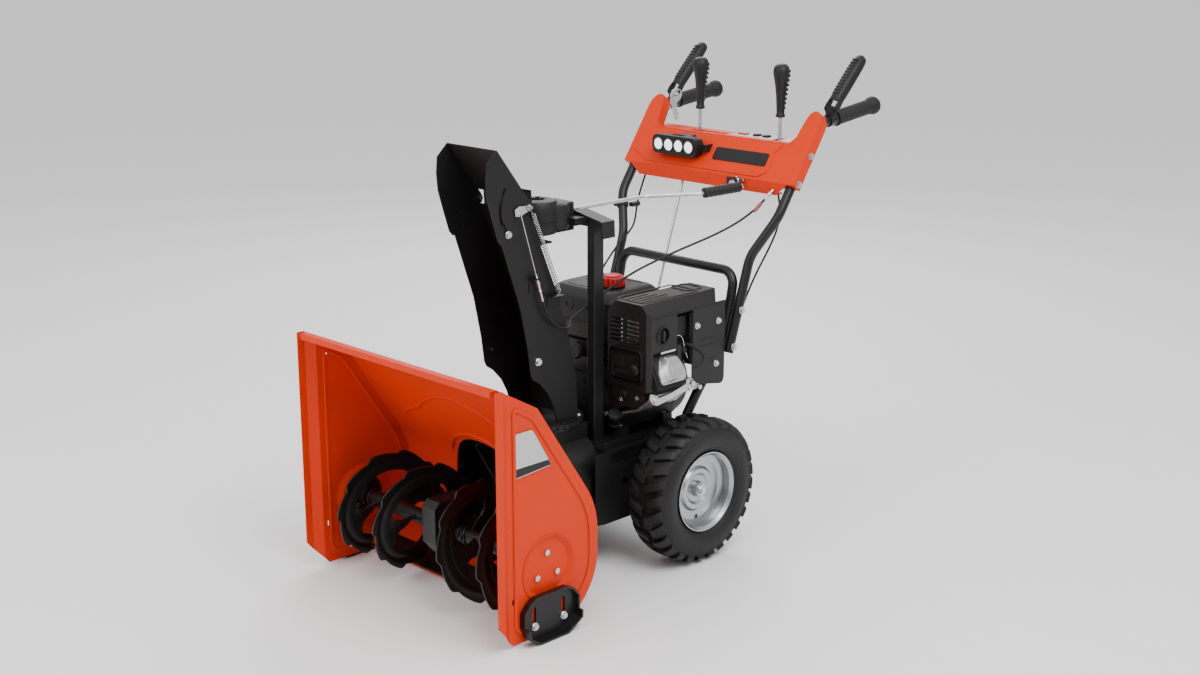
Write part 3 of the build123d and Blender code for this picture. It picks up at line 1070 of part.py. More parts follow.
def console_outline(inset=0.0):
    """Front face as seen square on: x across, y up the slope."""
    w, top, horn = CONSOLE_HALF, FACE_HEIGHT, HORN_HEIGHT
    inner = w - HORN_WIDTH
    right = [(w, 0), (w, horn - 34), (w - 3, horn - 17), (w - 11, horn - 5), (w - 21, horn), (inner + 15, horn - 1),
             (inner + 6, horn - 9), (inner + 1, horn - 26), (inner - 3, horn - 52), (inner - 5, top + 19), (inner - 20, top)]
    points = right + [(-x, y) for x, y in reversed(right)]
    face = make_face(Polyline(*points, close=True))
    corners = face.vertices().filter_by(lambda v: top - 1 < v.Y < top + 20)
    face = fillet(corners, 9)
    if inset:
        face = offset(face, amount=-inset, kind=Kind.INTERSECTION)
    return face


def console():
    """Folded sheet console across both tubes: slanted face, two horns, lower strip and control deck."""
    wall = CONSOLE_WALL
    pan = extrude(console_plane(-CONSOLE_DEPTH) * console_outline(), CONSOLE_DEPTH)
    pan -= extrude(console_plane(-CONSOLE_DEPTH - 1) * console_outline(wall), CONSOLE_DEPTH + 1 - wall)
    # raised field on the face
    w = CONSOLE_HALF - 14
    field = [(-w, 60), (-w + 18, 78), (-w + 60, FACE_HEIGHT - 6), (w - 60, FACE_HEIGHT - 6), (w - 74, 74), (w - 74, 22),
             (w - 96, 8), (-w + 60, 8), (-w, 34)]
    pan += extrude(console_plane(-0.5) * make_face(Polyline(*field, close=True)), 2.5)
    # lower strip, folded down
    y = (FOLD_Y, FOLD_Y + wall)
    low = FOLD_Z - STRIP_HEIGHT
    strip = prism_y([(-w + 4, FOLD_Z + 1), (w - 4, FOLD_Z + 1), (w - 38, low), (-w + 38, low)], y)
    strip += block((-w + 38, w - 38), (FOLD_Y, FOLD_Y + 26), (low, low + wall))
    pan += strip
    # control deck behind the face
    front_y = console_point(0, FACE_HEIGHT)[1]
    inner = CONSOLE_HALF - HORN_WIDTH + wall
    pan -= block((33 - inner, inner - 33), (front_y + 3, DECK_REAR_Y), (DECK_TOP_Z - 40, DECK_TOP_Z + 1))
    deck = block((-inner, inner), (front_y, DECK_REAR_Y), (DECK_TOP_Z - wall, DECK_TOP_Z))
    deck += block((-inner, inner), (DECK_REAR_Y - wall, DECK_REAR_Y), (DECK_TOP_Z - 34, DECK_TOP_Z))
    deck -= block(SHIFT_SLOT_X, (SHIFT_Y - 8, SHIFT_Y + 8), (DECK_TOP_Z - 10, DECK_TOP_Z + 1))
    deck -= block((TILT_X - 8, TILT_X + 8), TILT_SLOT_Y, (DECK_TOP_Z - 10, DECK_TOP_Z + 1))
    for x, half in ((ROCKER_X, 12.6), (BUTTON_X[0], 7.6), (BUTTON_X[1], 7.6)):
        deck -= block((x - half, x + half), (SWITCH_Y - 8.6, SWITCH_Y + 8.6), (DECK_TOP_Z - 10, DECK_TOP_Z + 1))
    pan += deck
    # the tubes pass up through the horns
    for side in (-1, 1):
        path = [(side * x, y, z) for x, y, z in handle_points()]
        pan -= bent_tube(path, [KNEE_RADIUS, KNEE_RADIUS, BEND_RADIUS], TUBE_R + 0.2)
    for along in CONSOLE_BOLTS:
        spot = console_point(CONSOLE_HALF, along, -CONSOLE_DEPTH / 2)
        pan -= rod_x((spot[0] - 8, spot[0] + 2), spot[1], spot[2], 4.1)
        pan -= rod_x((-spot[0] - 2, -spot[0] + 8), spot[1], spot[2], 4.1)
    return pan


def control_panel():
    """Thin grey panel on the deck round the switches."""
    z = (DECK_TOP_Z, DECK_TOP_Z + 1.2)
    panel = block((14, 208), (DECK_REAR_Y - 46, DECK_REAR_Y - 3), z)
    panel = fillet(panel.edges().filter_by(Axis.Z), 8)
    panel -= block((TILT_X - 9, TILT_X + 9), (TILT_SLOT_Y[0] - 2, TILT_SLOT_Y[1] + 2), (z[0] - 1, z[1] + 1))
    for x, half in ((ROCKER_X, 12.6), (BUTTON_X[0], 7.6), (BUTTON_X[1], 7.6)):
        panel -= block((x - half, x + half), (SWITCH_Y - 8.6, SWITCH_Y + 8.6), (z[0] - 1, z[1] + 1))
    return panel


def rocker_switch():
    """Wide rocker for the headlamp."""
    top = DECK_TOP_Z + 4.5
    rocker = block((ROCKER_X - 12, ROCKER_X + 12), (SWITCH_Y - 7.4, SWITCH_Y + 7.4), (DECK_TOP_Z - 7, top))
    return fillet(rocker.edges().filter_by(Axis.X).sort_by(Axis.Z)[-2:], 3)


def push_button(x):
    button = block((x - 7, x + 7), (SWITCH_Y - 8, SWITCH_Y + 8), (DECK_TOP_Z - 7, DECK_TOP_Z + 6))
    return fillet(button.faces().sort_by(Axis.Z)[-1].edges(), 1.5)


def switch_cups():
    """Switch bodies under the deck, one below each rocker or button."""
    cups = []
    for x, half in ((ROCKER_X, 16), (BUTTON_X[0], 11), (BUTTON_X[1], 11)):
        cup = block((x - half, x + half), (SWITCH_Y - 12, SWITCH_Y + 12), (DECK_TOP_Z - 30, DECK_TOP_Z - CONSOLE_WALL))
        cup -= block((x - half + 3, x + half - 3), (SWITCH_Y - 9, SWITCH_Y + 9), (DECK_TOP_Z - 12, DECK_TOP_Z - 2))
        cups.append(cup)
    return cups


def headlamp():
    """Lamp body on its bracket, with four lenses set in its face."""
    body = extrude(Plane.XZ * make_face(Polyline((-70, -22), (66, -22), (70, -14), (70, 14), (58, 22), (-62, 22),
                                                 (-70, 12), close=True)), 38)
    body = fillet(body.faces().sort_by(Axis.Y)[-1].edges(), 2)
    centres = [-48 + 32 * k for k in range(4)]
    for x in centres:
        body -= rod_y(x, (-39, -36), 0, 13.6)
    body += block((66, 84), (-14, -10), (-10, 8)) + block((80, 84), (-14, 20), (-10, 8))
    body += block((-16, 16), (-4, 24), (-14, 14))
    body = Pos(*LAMP) * body
    # the back rests against the raised field of the slanted face
    body -= extrude(console_plane(2.2 - 60) * Pos(LAMP[0], 50) * Rectangle(240, 300), 60)
    lenses = []
    for x in centres:
        lenses.append(rod_y(x, (-38.4, -36), 0, 13.2))
    return body, [Pos(*LAMP) * lens for lens in lenses]


def badge_plate():
    """Plain dark plate on the face."""
    face = RectangleRounded(158, 31, 4)
    return extrude(console_plane(2.0) * Pos(85, 51) * face, 1.6)


def lever(x, y, z, radius):
    """Steel lever with its knob, standing upright from its pivot boss."""
    top = KNOB_TOP_Z
    shaft = rod_z(x, y, (z, top - 40), radius)
    profile = [(0, -122), (10.5, -122), (12, -118), (10, -114), (13.5, -60), (20, -32), (21.5, -20), (19, -9),
               (12, -2), (0, 0)]
    knob = revolve(Plane.XZ * make_face(Polyline(*profile, close=True)), axis=Axis.Z)
    knob = Pos(x, y, top) * knob
    return shaft - knob, knob


def shift_lever():
    """Gear lever: swings across the machine about a pivot under the deck."""
    shaft, knob = lever(SHIFT_X, SHIFT_Y, SHIFT_PIVOT_Z, LEVER_R)
    boss = rod_y(SHIFT_X, (SHIFT_Y - 12, SHIFT_Y + 12), SHIFT_PIVOT_Z, BOSS_R)
    boss -= rod_y(SHIFT_X, (SHIFT_Y - 13, SHIFT_Y + 13), SHIFT_PIVOT_Z, PIN_R + FIT)
    shaft -= rod_y(SHIFT_X, (SHIFT_Y - 13, SHIFT_Y + 13), SHIFT_PIVOT_Z, BOSS_R - 0.5)
    return [shaft + boss, knob]


def tilt_lever():
    """Deflector lever: swings fore and aft."""
    shaft, knob = lever(TILT_X, TILT_Y, TILT_PIVOT_Z, LEVER_R)
    boss = rod_x((TILT_X - 12, TILT_X + 12), TILT_Y, TILT_PIVOT_Z, BOSS_R)
    boss -= rod_x((TILT_X - 13, TILT_X + 13), TILT_Y, TILT_PIVOT_Z, PIN_R + FIT)
    shaft -= rod_x((TILT_X - 13, TILT_X + 13), TILT_Y, TILT_PIVOT_Z, BOSS_R - 0.5)
    return [shaft + boss, knob]


def lever_brackets():
    """Hangers under the deck that carry the pins of both deck levers."""
    deck = DECK_TOP_Z - CONSOLE_WALL
    hangers = []
    for y in (SHIFT_Y - 17, SHIFT_Y + 14):
        hangers.append(block((SHIFT_X - 9, SHIFT_X + 9), (y, y + 3), (SHIFT_PIVOT_Z - 8, deck)))
    for x in (TILT_X - 17, TILT_X + 14):
        hangers.append(block((x, x + 3), (TILT_Y - 9, TILT_Y + 9), (TILT_PIVOT_Z - 8, deck)))
    shift = hangers[0] + hangers[1] + rod_y(SHIFT_X, (SHIFT_Y - 17, SHIFT_Y + 17), SHIFT_PIVOT_Z, PIN_R)
    tilt = hangers[2] + hangers[3] + rod_x((TILT_X - 17, TILT_X + 17), TILT_Y, TILT_PIVOT_Z, PIN_R)
    return [shift, tilt]


def clutch_lever():
    """Paddle of the left hand lever: an open channel that folds down on the grip."""
    y0, z0 = CLUTCH_PIVOT
    lean = degrees(atan2(CLUTCH_END[1] - z0, CLUTCH_END[0] - y0))
    length = hypot(CLUTCH_END[0] - y0, CLUTCH_END[1] - z0)
    half = PADDLE_HALF
    channel = block((-half, half), (20, length), (-6, 12)) - block((-half + 2.5, half - 2.5), (18, length - 6), (-7, 9.5))
    channel = fillet(channel.edges().filter_by(Axis.Y).sort_by(Axis.Z)[-2:], 5)
    ears = block((-half, -half + 2.5), (-9, 24), (-6, 8)) + block((half - 2.5, half), (-9, 24), (-6, 8))
    tail = block((-half, -half + 2.5), (-17, -5), (-6, 4))
    paddle = channel + ears + tail
    paddle -= rod_x((-half - 1, half + 1), 0, 0, 3 + FIT)
    return Pos(UPPER_X, y0, z0) * Rot(lean, 0, 0) * paddle


def clutch_bracket():
    """Clamp on the left tube with the pivot pin of the hand lever."""
    bend, end = Vector(UPPER_X, *TUBE_BEND), Vector(UPPER_X, *TUBE_END)
    axis = (end - bend).normalized()
    a = bend + axis * 34
    b = bend + axis * 59
    clamp = rod(tuple(a), tuple(b), TUBE_R + 3.5) - rod(tuple(bend), tuple(end), TUBE_R + HOLE)
    y, z = CLUTCH_PIVOT
    ear = block((UPPER_X - 11, UPPER_X + 11), (y - 8, y + 7), (z - 14, z + 6))
    ear -= rod(tuple(bend), tuple(end), TUBE_R + HOLE)
    clamp += ear
    clamp -= rod_x((UPPER_X - 12, UPPER_X + 12), y, z, 2.5)
    clamp += rod_x((UPPER_X - 17, UPPER_X + 17), y, z, 3)
    return clamp


# ---------------------------------------------------------------- rod and cables
def shift_rod():
    """Linkage rod from the gear lever's hanger down to the drive at the back of the frame."""
    hook = (SHIFT_X - BOSS_R - SHIFT_ROD_R - FIT, SHIFT_Y - 10, SHIFT_PIVOT_Z - 4)
    path = [hook, (SHIFT_ROD_X, SHIFT_Y - 27, SHIFT_PIVOT_Z - 12), (SHIFT_ROD_X, 160, SHIFT_ROD_LOW_Z + 26),
            (SHIFT_ROD_X, FRAME_REAR_Y - 10, SHIFT_ROD_LOW_Z)]
    return bent_tube(path, [6, 20], SHIFT_ROD_R)


def cord(points, radius):
    radii = loose_radii(points)
    return bent_tube(points, radii, radius)


def tilt_cable():
    """Control cable of the deflector, from the console to the post, with its adjuster."""
    tube = cord(TILT_CABLE, TILT_CABLE_R)
    first, second = Vector(*TILT_CABLE[0]), Vector(*TILT_CABLE[1])
    away = (first - second).normalized()
    adjuster = rod(tuple(first), tuple(first + away * 26), 3.8)
    return [tube, adjuster]


def chute_cable():
    """The same cable's last stretch, which turns with the chute."""
    low = Vector(*WIRE_LOW)
    start = low + (low - Vector(*WIRE_TOP)).normalized() * SLEEVE_LENGTH
    return cord([tuple(start)] + CHUTE_CABLE, TILT_CABLE_R)


def clutch_cables():
    return [cord(CLUTCH_CABLE_LEFT, CLUTCH_CABLE_R), cord(CLUTCH_CABLE_RIGHT, CLUTCH_CABLE_R)]


def cable_clip():
    """Plastic clip that holds the right cable to its handle tube."""
    clip = block((-243, -206), (250, 288), (706, 716))
    clip -= other_side(bent_tube(handle_points(), [KNEE_RADIUS, KNEE_RADIUS, BEND_RADIUS], TUBE_R + HOLE))
    return clip - cord(CLUTCH_CABLE_RIGHT, CLUTCH_CABLE_R + HOLE)


# ---------------------------------------------------------------- export
def assembly():
    """Every node name with its solid or list of solids."""
    auger = auger_left()
    lamp_body, lamp_lenses = headlamp()
    tyre, rim = tyre_left(), rim_left()
    return {
        "housing_shell": housing_shell(),
        "housing_side_left": housing_side(),
        "housing_side_right": other_side(housing_side()),
        "scraper_bar": scraper_bar(),
        "skid_shoe_left": skid_shoe(),
        "skid_shoe_right": other_side(skid_shoe()),
        "fixed_bolts": housing_bolts() + handle_bolts(),
        "shaft_bearings": both(auger_bearing()) + [impeller_bearing()],
        "auger_shaft": auger_shaft(),
        "auger_left": auger,
        "auger_right": other_side(auger),
        "auger_gearbox": auger_gearbox(),
        "impeller": impeller(),
        "impeller_shaft": impeller_shaft(),
        "impeller_drum": impeller_drum(),
        "chute_ring": chute_ring(),
        "chute": chute(),
        "chute_deflector": chute_deflector(),
        "chute_bolts": chute_bolts(),
        "deflector_spring": deflector_spring(),
        "chute_cable": chute_cable(),
        "chute_head": chute_head(),
        "chute_post": chute_post(),
        "crank_rod": crank_rod(),
        "crank_grip": crank_grip(),
        "tractor_frame": tractor_frame(),
        "belt_cover": belt_cover(),
        "engine_pulley": engine_pulley(),
        "drive_belt": drive_belt(),
        "axle": [axle()] + hub_hardware(),
        "rim_left": rim,
        "rim_right": other_side(rim),
        "tyre_left": tyre,
        "tyre_right": other_side(tyre),
        "engine_block": engine_block(),
        "valve_cover": valve_cover(),
        "engine_shroud": engine_shroud(),
        "muffler": muffler(),
        "carburettor": [carburettor(), air_duct()],
        "fuel_tank": fuel_tank(),
        "fuel_cap": fuel_cap(),
        "recoil_cover": recoil_cover(),
        "recoil_handle": recoil_handle(),
        "guard_loop": guard_loop(),
        "handle_tubes": both(handle_tube()),
        "handle_grips": both(grip()),
        "console": console(),
        "control_panel": [control_panel(), badge_plate()],
        "headlamp": [lamp_body] + lamp_lenses + switch_cups(),
        "rocker_switch": rocker_switch(),
        "start_button": push_button(BUTTON_X[0]),
        "heater_button": push_button(BUTTON_X[1]),
        "shift_lever": shift_lever(),
        "tilt_lever": tilt_lever(),
        "lever_brackets": lever_brackets() + both(clutch_bracket()) + [crank_eye()],
        "clutch_lever_left": clutch_lever(),
        "clutch_lever_right": other_side(clutch_lever()),
        "shift_rod": shift_rod(),
        "tilt_cable": tilt_cable(),
        "clutch_cables": clutch_cables() + [cable_clip()],
    }


def main():
    os.makedirs("parts", exist_ok=True)
    for name, shape in assembly().items():
        solids = []
        for piece in shape if isinstance(shape, list) else [shape]:
            solids.extend(piece.solids())
        moved = [Pos(0, ORIGIN_SHIFT, 0) * solid for solid in solids]
        whole = moved[0] if len(moved) == 1 else Compound(children=moved)
        export_step(whole, os.path.join("parts", name + ".step"))


if __name__ == "__main__":
    main()
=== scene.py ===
"""Looks of the snow blower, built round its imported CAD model.

Lengths are in millimetres until mm() turns them to metres.
"""
from math import cos, exp, pi, radians, sin, sqrt

import bmesh
import bpy
from mathutils import Matrix, Vector


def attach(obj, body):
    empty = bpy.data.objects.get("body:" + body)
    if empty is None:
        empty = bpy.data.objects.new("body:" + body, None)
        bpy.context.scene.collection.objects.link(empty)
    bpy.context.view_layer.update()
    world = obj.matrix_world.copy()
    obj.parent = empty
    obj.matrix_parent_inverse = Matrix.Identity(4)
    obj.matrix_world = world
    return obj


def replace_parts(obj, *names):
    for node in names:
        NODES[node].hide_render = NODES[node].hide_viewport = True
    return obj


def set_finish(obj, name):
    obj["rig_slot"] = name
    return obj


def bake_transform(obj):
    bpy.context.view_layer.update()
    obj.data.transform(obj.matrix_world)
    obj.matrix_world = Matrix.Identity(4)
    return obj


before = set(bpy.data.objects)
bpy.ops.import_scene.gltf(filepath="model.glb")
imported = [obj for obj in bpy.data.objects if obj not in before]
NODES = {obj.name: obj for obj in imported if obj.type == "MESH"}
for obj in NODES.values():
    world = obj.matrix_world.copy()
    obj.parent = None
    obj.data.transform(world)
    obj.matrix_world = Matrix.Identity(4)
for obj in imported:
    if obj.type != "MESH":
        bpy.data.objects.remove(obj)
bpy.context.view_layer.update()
SHIFT_Y = 18.5                       # the wheel axle's distance behind the row's origin


def mm(x, y, z):
    """A point given in millimetres, y measured from the wheel axle, as a point of the row frame."""
    return Vector((x / 1000, (y + SHIFT_Y) / 1000, z / 1000))


def linked(name, data):
    """A new object holding data, in the scene."""
    obj = bpy.data.objects.new(name, data)
    bpy.context.scene.collection.objects.link(obj)
    return obj


# ---------------------------------------------------------------- materials
GLOSS_VARY = 0.12                    # share by which the roughness drifts over a surface
COAT_ROUGH = 0.12
TONE_RAMP = (0.32, 0.68)             # where the drifting tone is darkest and lightest
GRAIN_DEPTH = 0.0005


def material(name, color, rough, metallic=0.0, vary=0.06, scale=9.0, grain=0.0, grain_scale=400.0, coat=0.0,
             edge=0.0006, dust=0.0, specular=0.5):
    """Shader with drifting tone, uneven gloss, fine surface grain and softened edges."""
    mat = bpy.data.materials.new(name)
    mat.use_nodes = True
    tree = mat.node_tree
    shader = tree.nodes["Principled BSDF"]
    new, link = tree.nodes.new, tree.links.new
    shader.inputs["Metallic"].default_value = metallic
    shader.inputs["Coat Weight"].default_value = coat
    shader.inputs["Coat Roughness"].default_value = COAT_ROUGH
    shader.inputs["Specular IOR Level"].default_value = specular
    place = new("ShaderNodeTexCoord").outputs["Object"]
    cloud = new("ShaderNodeTexNoise")
    cloud.inputs["Scale"].default_value = scale
    cloud.inputs["Detail"].default_value = 6
    link(place, cloud.inputs["Vector"])
    tone = new("ShaderNodeValToRGB")
    low = [c * (1 - vary) for c in color]
    high = [min(1, c * (1 + vary) + dust) for c in color]
    for stop, position, shade in zip(tone.color_ramp.elements, TONE_RAMP, (low, high)):
        stop.position, stop.color = position, (*shade, 1)
    link(cloud.outputs["Fac"], tone.inputs["Fac"])
    link(tone.outputs["Color"], shader.inputs["Base Color"])
    gloss = new("ShaderNodeMapRange")
    gloss.inputs["To Min"].default_value = rough * (1 - GLOSS_VARY)
    gloss.inputs["To Max"].default_value = rough * (1 + GLOSS_VARY)
    link(cloud.outputs["Fac"], gloss.inputs["Value"])
    link(gloss.outputs["Result"], shader.inputs["Roughness"])
    normal = None
    if edge:
        bevel = new("ShaderNodeBevel")
        bevel.samples = 4
        bevel.inputs["Radius"].default_value = edge
        normal = bevel.outputs["Normal"]
    if grain:
        speck = new("ShaderNodeTexNoise")
        speck.inputs["Scale"].default_value = grain_scale
        speck.inputs["Detail"].default_value = 3
        link(place, speck.inputs["Vector"])
        bump = new("ShaderNodeBump")
        bump.inputs["Strength"].default_value = grain
        bump.inputs["Distance"].default_value = GRAIN_DEPTH
        link(speck.outputs["Fac"], bump.inputs["Height"])
        if normal:
            link(normal, bump.inputs["Normal"])
        normal = bump.outputs["Normal"]
    if normal:
        link(normal, shader.inputs["Normal"])
    return mat


ORANGE = material("orange_paint", (0.66, 0.030, 0.001), 0.42, coat=0.05, specular=0.12, vary=0.03, grain=0.1,
                  grain_scale=260, edge=0.0012)
BLACK_PAINT = material("black_paint", (0.007, 0.007, 0.0075), 0.40, specular=0.32, coat=0.05, vary=0.25, grain=0.15,
                       grain_scale=300, edge=0.0009)
CHUTE_PAINT = material("chute_paint", (0.0075, 0.0075, 0.008), 0.48, specular=0.28, vary=0.2, grain=0.22,
                       grain_scale=330, edge=0.0008)
TUBE_PAINT = material("tube_paint", (0.0085, 0.0085, 0.009), 0.38, specular=0.35, vary=0.2, grain=0.15,
                      grain_scale=350, edge=0)
PLASTIC = material("black_plastic", (0.0095, 0.0092, 0.0095), 0.5, specular=0.32, vary=0.15, grain=0.5, grain_scale=650,
                   edge=0.0014)
SOFT_PLASTIC = material("soft_plastic", (0.0115, 0.0113, 0.0115), 0.55, specular=0.3, vary=0.15, grain=0.6,
                        grain_scale=800, edge=0.0008)
RUBBER = material("rubber", (0.014, 0.014, 0.0145), 0.66, specular=0.3, vary=0.2, grain=0.6, grain_scale=700, edge=0)
TYRE = material("tyre_rubber", (0.0075, 0.0074, 0.0075), 0.55, specular=0.32, vary=0.25, grain=0.35, grain_scale=500,
                edge=0.0006, dust=0.002)
ZINC = material("zinc", (0.55, 0.55, 0.57), 0.26, metallic=1.0, vary=0.12, scale=60, grain=0.2, grain_scale=900,
                edge=0.0004)
SPRING = material("spring_steel", (0.36, 0.36, 0.38), 0.3, metallic=1.0, vary=0.15, scale=80, grain=0.1, edge=0)
STEEL = material("steel_rod", (0.60, 0.60, 0.62), 0.24, metallic=1.0, vary=0.08, scale=40, grain=0.1, edge=0)
RIM = material("rim_silver", (0.40, 0.41, 0.42), 0.30, metallic=1.0, vary=0.05, scale=14, grain=0.25, grain_scale=500,
               edge=0.0008)
CAST = material("cast_aluminium", (0.62, 0.62, 0.63), 0.36, metallic=0.9, vary=0.10, scale=40, grain=0.7,
                grain_scale=600)
DARK_CAST = material("dark_casting", (0.016, 0.015, 0.016), 0.5, metallic=0.2, specular=0.35, vary=0.25, scale=30,
                     grain=0.7, grain_scale=500)
RED = material("red_plastic", (0.42, 0.004, 0.006), 0.42, specular=0.3, vary=0.10, grain=0.4, grain_scale=700,
               edge=0.0008)
BOOT = material("boot_brown", (0.24, 0.07, 0.05), 0.5, vary=0.2, grain=0.3, edge=0)
LABEL = material("label_grey", (0.50, 0.50, 0.51), 0.42, vary=0.03, grain=0.05, edge=0)
BADGE = material("badge_dark", (0.0085, 0.0085, 0.0105), 0.34, specular=0.3, vary=0.1, grain=0.05, edge=0.0004)
PANEL = material("panel_grey", (0.50, 0.50, 0.51), 0.45, vary=0.04, grain=0.3, grain_scale=800, edge=0)
LENS = material("lens", (0.86, 0.87, 0.88), 0.12, vary=0.02, grain=0, edge=0)
LENS.node_tree.nodes["Principled BSDF"].inputs["Emission Color"].default_value = (1, 1, 1, 1)
LENS.node_tree.nodes["Principled BSDF"].inputs["Emission Strength"].default_value = 1.6
GRAPHITE = material("graphite", (0.05, 0.05, 0.055), 0.4, metallic=0.7, vary=0.15, scale=30, grain=0.4, edge=0.0005)

CARRIED = {
    "housing_shell": ORANGE, "housing_side_left": ORANGE, "housing_side_right": ORANGE, "console": ORANGE,
    "scraper_bar": BLACK_PAINT, "skid_shoe_left": BLACK_PAINT, "skid_shoe_right": BLACK_PAINT,
    "fixed_bolts": ZINC, "shaft_bearings": BLACK_PAINT, "auger_shaft": BLACK_PAINT, "auger_gearbox": BLACK_PAINT,
    "impeller": BLACK_PAINT, "impeller_shaft": GRAPHITE, "impeller_drum": BLACK_PAINT, "chute_ring": PLASTIC,
    "chute": CHUTE_PAINT, "chute_deflector": CHUTE_PAINT, "chute_bolts": ZINC, "chute_head": PLASTIC,
    "chute_post": TUBE_PAINT, "crank_rod": STEEL, "tractor_frame": BLACK_PAINT, "belt_cover": PLASTIC,
    "engine_pulley": GRAPHITE, "drive_belt": RUBBER, "axle": ZINC, "rim_left": RIM, "rim_right": RIM,
    "engine_block": DARK_CAST, "engine_shroud": PLASTIC, "muffler": GRAPHITE, "carburettor": CAST,
    "fuel_tank": PLASTIC, "fuel_cap": RED, "recoil_cover": PLASTIC, "recoil_handle": SOFT_PLASTIC,
    "guard_loop": TUBE_PAINT, "handle_tubes": TUBE_PAINT, "control_panel": PANEL, "rocker_switch": RED,
    "start_button": PLASTIC, "heater_button": PLASTIC, "lever_brackets": BLACK_PAINT, "shift_rod": STEEL,
}
for node_name, look in CARRIED.items():
    mesh = NODES[node_name].data
    mesh.materials.clear()
    mesh.materials.append(look)


# ---------------------------------------------------------------- mesh helpers
MERGE = 1e-6                         # points closer than this, in metres, become one


def piece(name, verts, faces, look, body, slot, bevel=0.0, segments=2, solid=0.0, sub=0, angle=35):
    """A mesh object in the row frame that rides on a CAD body.

    verts, bevel (edge rounding) and solid (sheet thickness) are in metres; angle is the sharp-edge limit in degrees.
    """
    mesh = bpy.data.meshes.new(name)
    mesh.from_pydata([tuple(v) for v in verts], [], faces)
    mesh.validate()
    obj = linked(name, mesh)
    clean = bmesh.new()
    clean.from_mesh(mesh)
    bmesh.ops.remove_doubles(clean, verts=clean.verts, dist=MERGE)
    bmesh.ops.recalc_face_normals(clean, faces=clean.faces)
    clean.to_mesh(mesh)
    clean.free()
    mesh.materials.append(look)
    mesh.shade_smooth()
    if solid:
        mod = obj.modifiers.new("thick", "SOLIDIFY")
        mod.thickness = solid
        mod.offset = 0
    if sub:
        mod = obj.modifiers.new("sub", "SUBSURF")
        mod.levels = mod.render_levels = sub
    if bevel:
        mod = obj.modifiers.new("bevel", "BEVEL")
        mod.width = bevel
        mod.segments = segments
        mod.limit_method = "ANGLE"
        mod.angle_limit = radians(angle)
        mod.harden_normals = True
    else:
        mesh.set_sharp_from_angle(angle=radians(angle))
    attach(obj, body)
    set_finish(obj, slot)
    return obj


def merge(parts):
    """Several (verts, faces) as one."""
    verts, faces = [], []
    for v, f in parts:
        base = len(verts)
        verts += v
        faces += [tuple(i + base for i in face) for face in f]
    return verts, faces


def tube_faces(rows, n):
    """Quads that join each closed row of n points to the next."""
    faces = []
    for k in range(rows - 1):
        for j in range(n):
            a, b = k * n + j, k * n + (j + 1) % n
            faces.append((a, b, b + n, a + n))
    return faces


def lathe(profile, origin, axis, steps=48, turn=None):
    """Surface of revolution: profile is (radius, distance along the axis), both in mm; origin in metres.

    turn, when given, changes the radius from (radius, angle).
    """
    axis = Vector(axis).normalized()
    side = axis.orthogonal().normalized()
    other = axis.cross(side)
    verts, faces = [], []
    n = len(profile)
    for k in range(steps):
        a = 2 * pi * k / steps
        for r, t in profile:
            reach = turn(r, a) if turn else r
            verts.append(origin + (side * cos(a) + other * sin(a)) * reach / 1000 + axis * t / 1000)
    for k in range(steps):
        for j in range(n - 1):
            a, b = k * n + j, ((k + 1) % steps) * n + j
            faces.append((a, b, b + 1, a + 1))
    return verts, faces


def prism(outline, depth, place):
    """Closed outline (u, v) in mm, extruded from depth[0] to depth[1]; place maps (u, v, w) to a point."""
    n = len(outline)
    verts = [place(u, v, depth[0]) for u, v in outline] + [place(u, v, depth[1]) for u, v in outline]
    faces = [tuple(range(n))[::-1], tuple(range(n, 2 * n))]
    faces += [(k, (k + 1) % n, n + (k + 1) % n, n + k) for k in range(n)]
    return verts, faces


def rounded(u0, u1, v0, v1, r, steps=5):
    """Outline of a rectangle with round corners."""
    points = []
    for cx, cy, a0 in ((u1 - r, v1 - r, 0), (u0 + r, v1 - r, 90), (u0 + r, v0 + r, 180), (u1 - r, v0 + r, 270)):
        for k in range(steps + 1):
            a = radians(a0 + 90 * k / steps)
            points.append((cx + r * cos(a), cy + r * sin(a)))
    return points


def on_x(u, v, w):
    """Outline in (y, z), depth along x."""
    return mm(w, u, v)


def on_y(u, v, w):
    """Outline in (x, z), depth along y."""
    return mm(u, w, v)


def on_z(u, v, w):
    """Outline in (x, y), depth along z."""
    return mm(u, v, w)


def soft(outline, reach, steps=4):
    """Rounds the corners of a closed outline: each is cut back by reach and bent smoothly."""
    points, n = [], len(outline)
    for k in range(n):
        p, c, q = Vector(outline[k - 1]), Vector(outline[k]), Vector(outline[(k + 1) % n])
        near = min(reach, (p - c).length * 0.45, (q - c).length * 0.45)
        a, b = c + (p - c).normalized() * near, c + (q - c).normalized() * near
        for j in range(steps + 1):
            t = j / steps
            points.append(tuple(a * (1 - t) ** 2 + c * 2 * t * (1 - t) + b * t * t))
    return points


RIDGE_SECTION = ((-1, -0.3), (-0.55, 0.9), (0, 1.0), (0.55, 0.9), (1, -0.3))   # shares of half width and height


def ridge(outline, x, out, width, height):
    """Raised pressed line on a side plate: closed outline in (y, z), x of the plate's face, out = +1 or -1 along x."""
    n, wide = len(outline), len(RIDGE_SECTION)
    verts, faces = [], []
    for k in range(n):
        p, q = Vector(outline[k - 1]), Vector(outline[(k + 1) % n])
        run = (q - p).normalized()
        side = Vector((run.y, -run.x))
        for share, lift in RIDGE_SECTION:
            c = Vector(outline[k]) + side * share * width / 2
            verts.append(mm(x + out * lift * height, c.x, c.y))
    for k in range(n):
        for j in range(wide - 1):
            a, b = wide * k + j, wide * ((k + 1) % n) + j
            faces.append((a, a + 1, b + 1, b))
    return verts, faces


def box(x, y, z):
    """Block between two limits on each axis, in mm."""
    return prism([(x[0], y[0]), (x[1], y[0]), (x[1], y[1]), (x[0], y[1])], z, on_z)


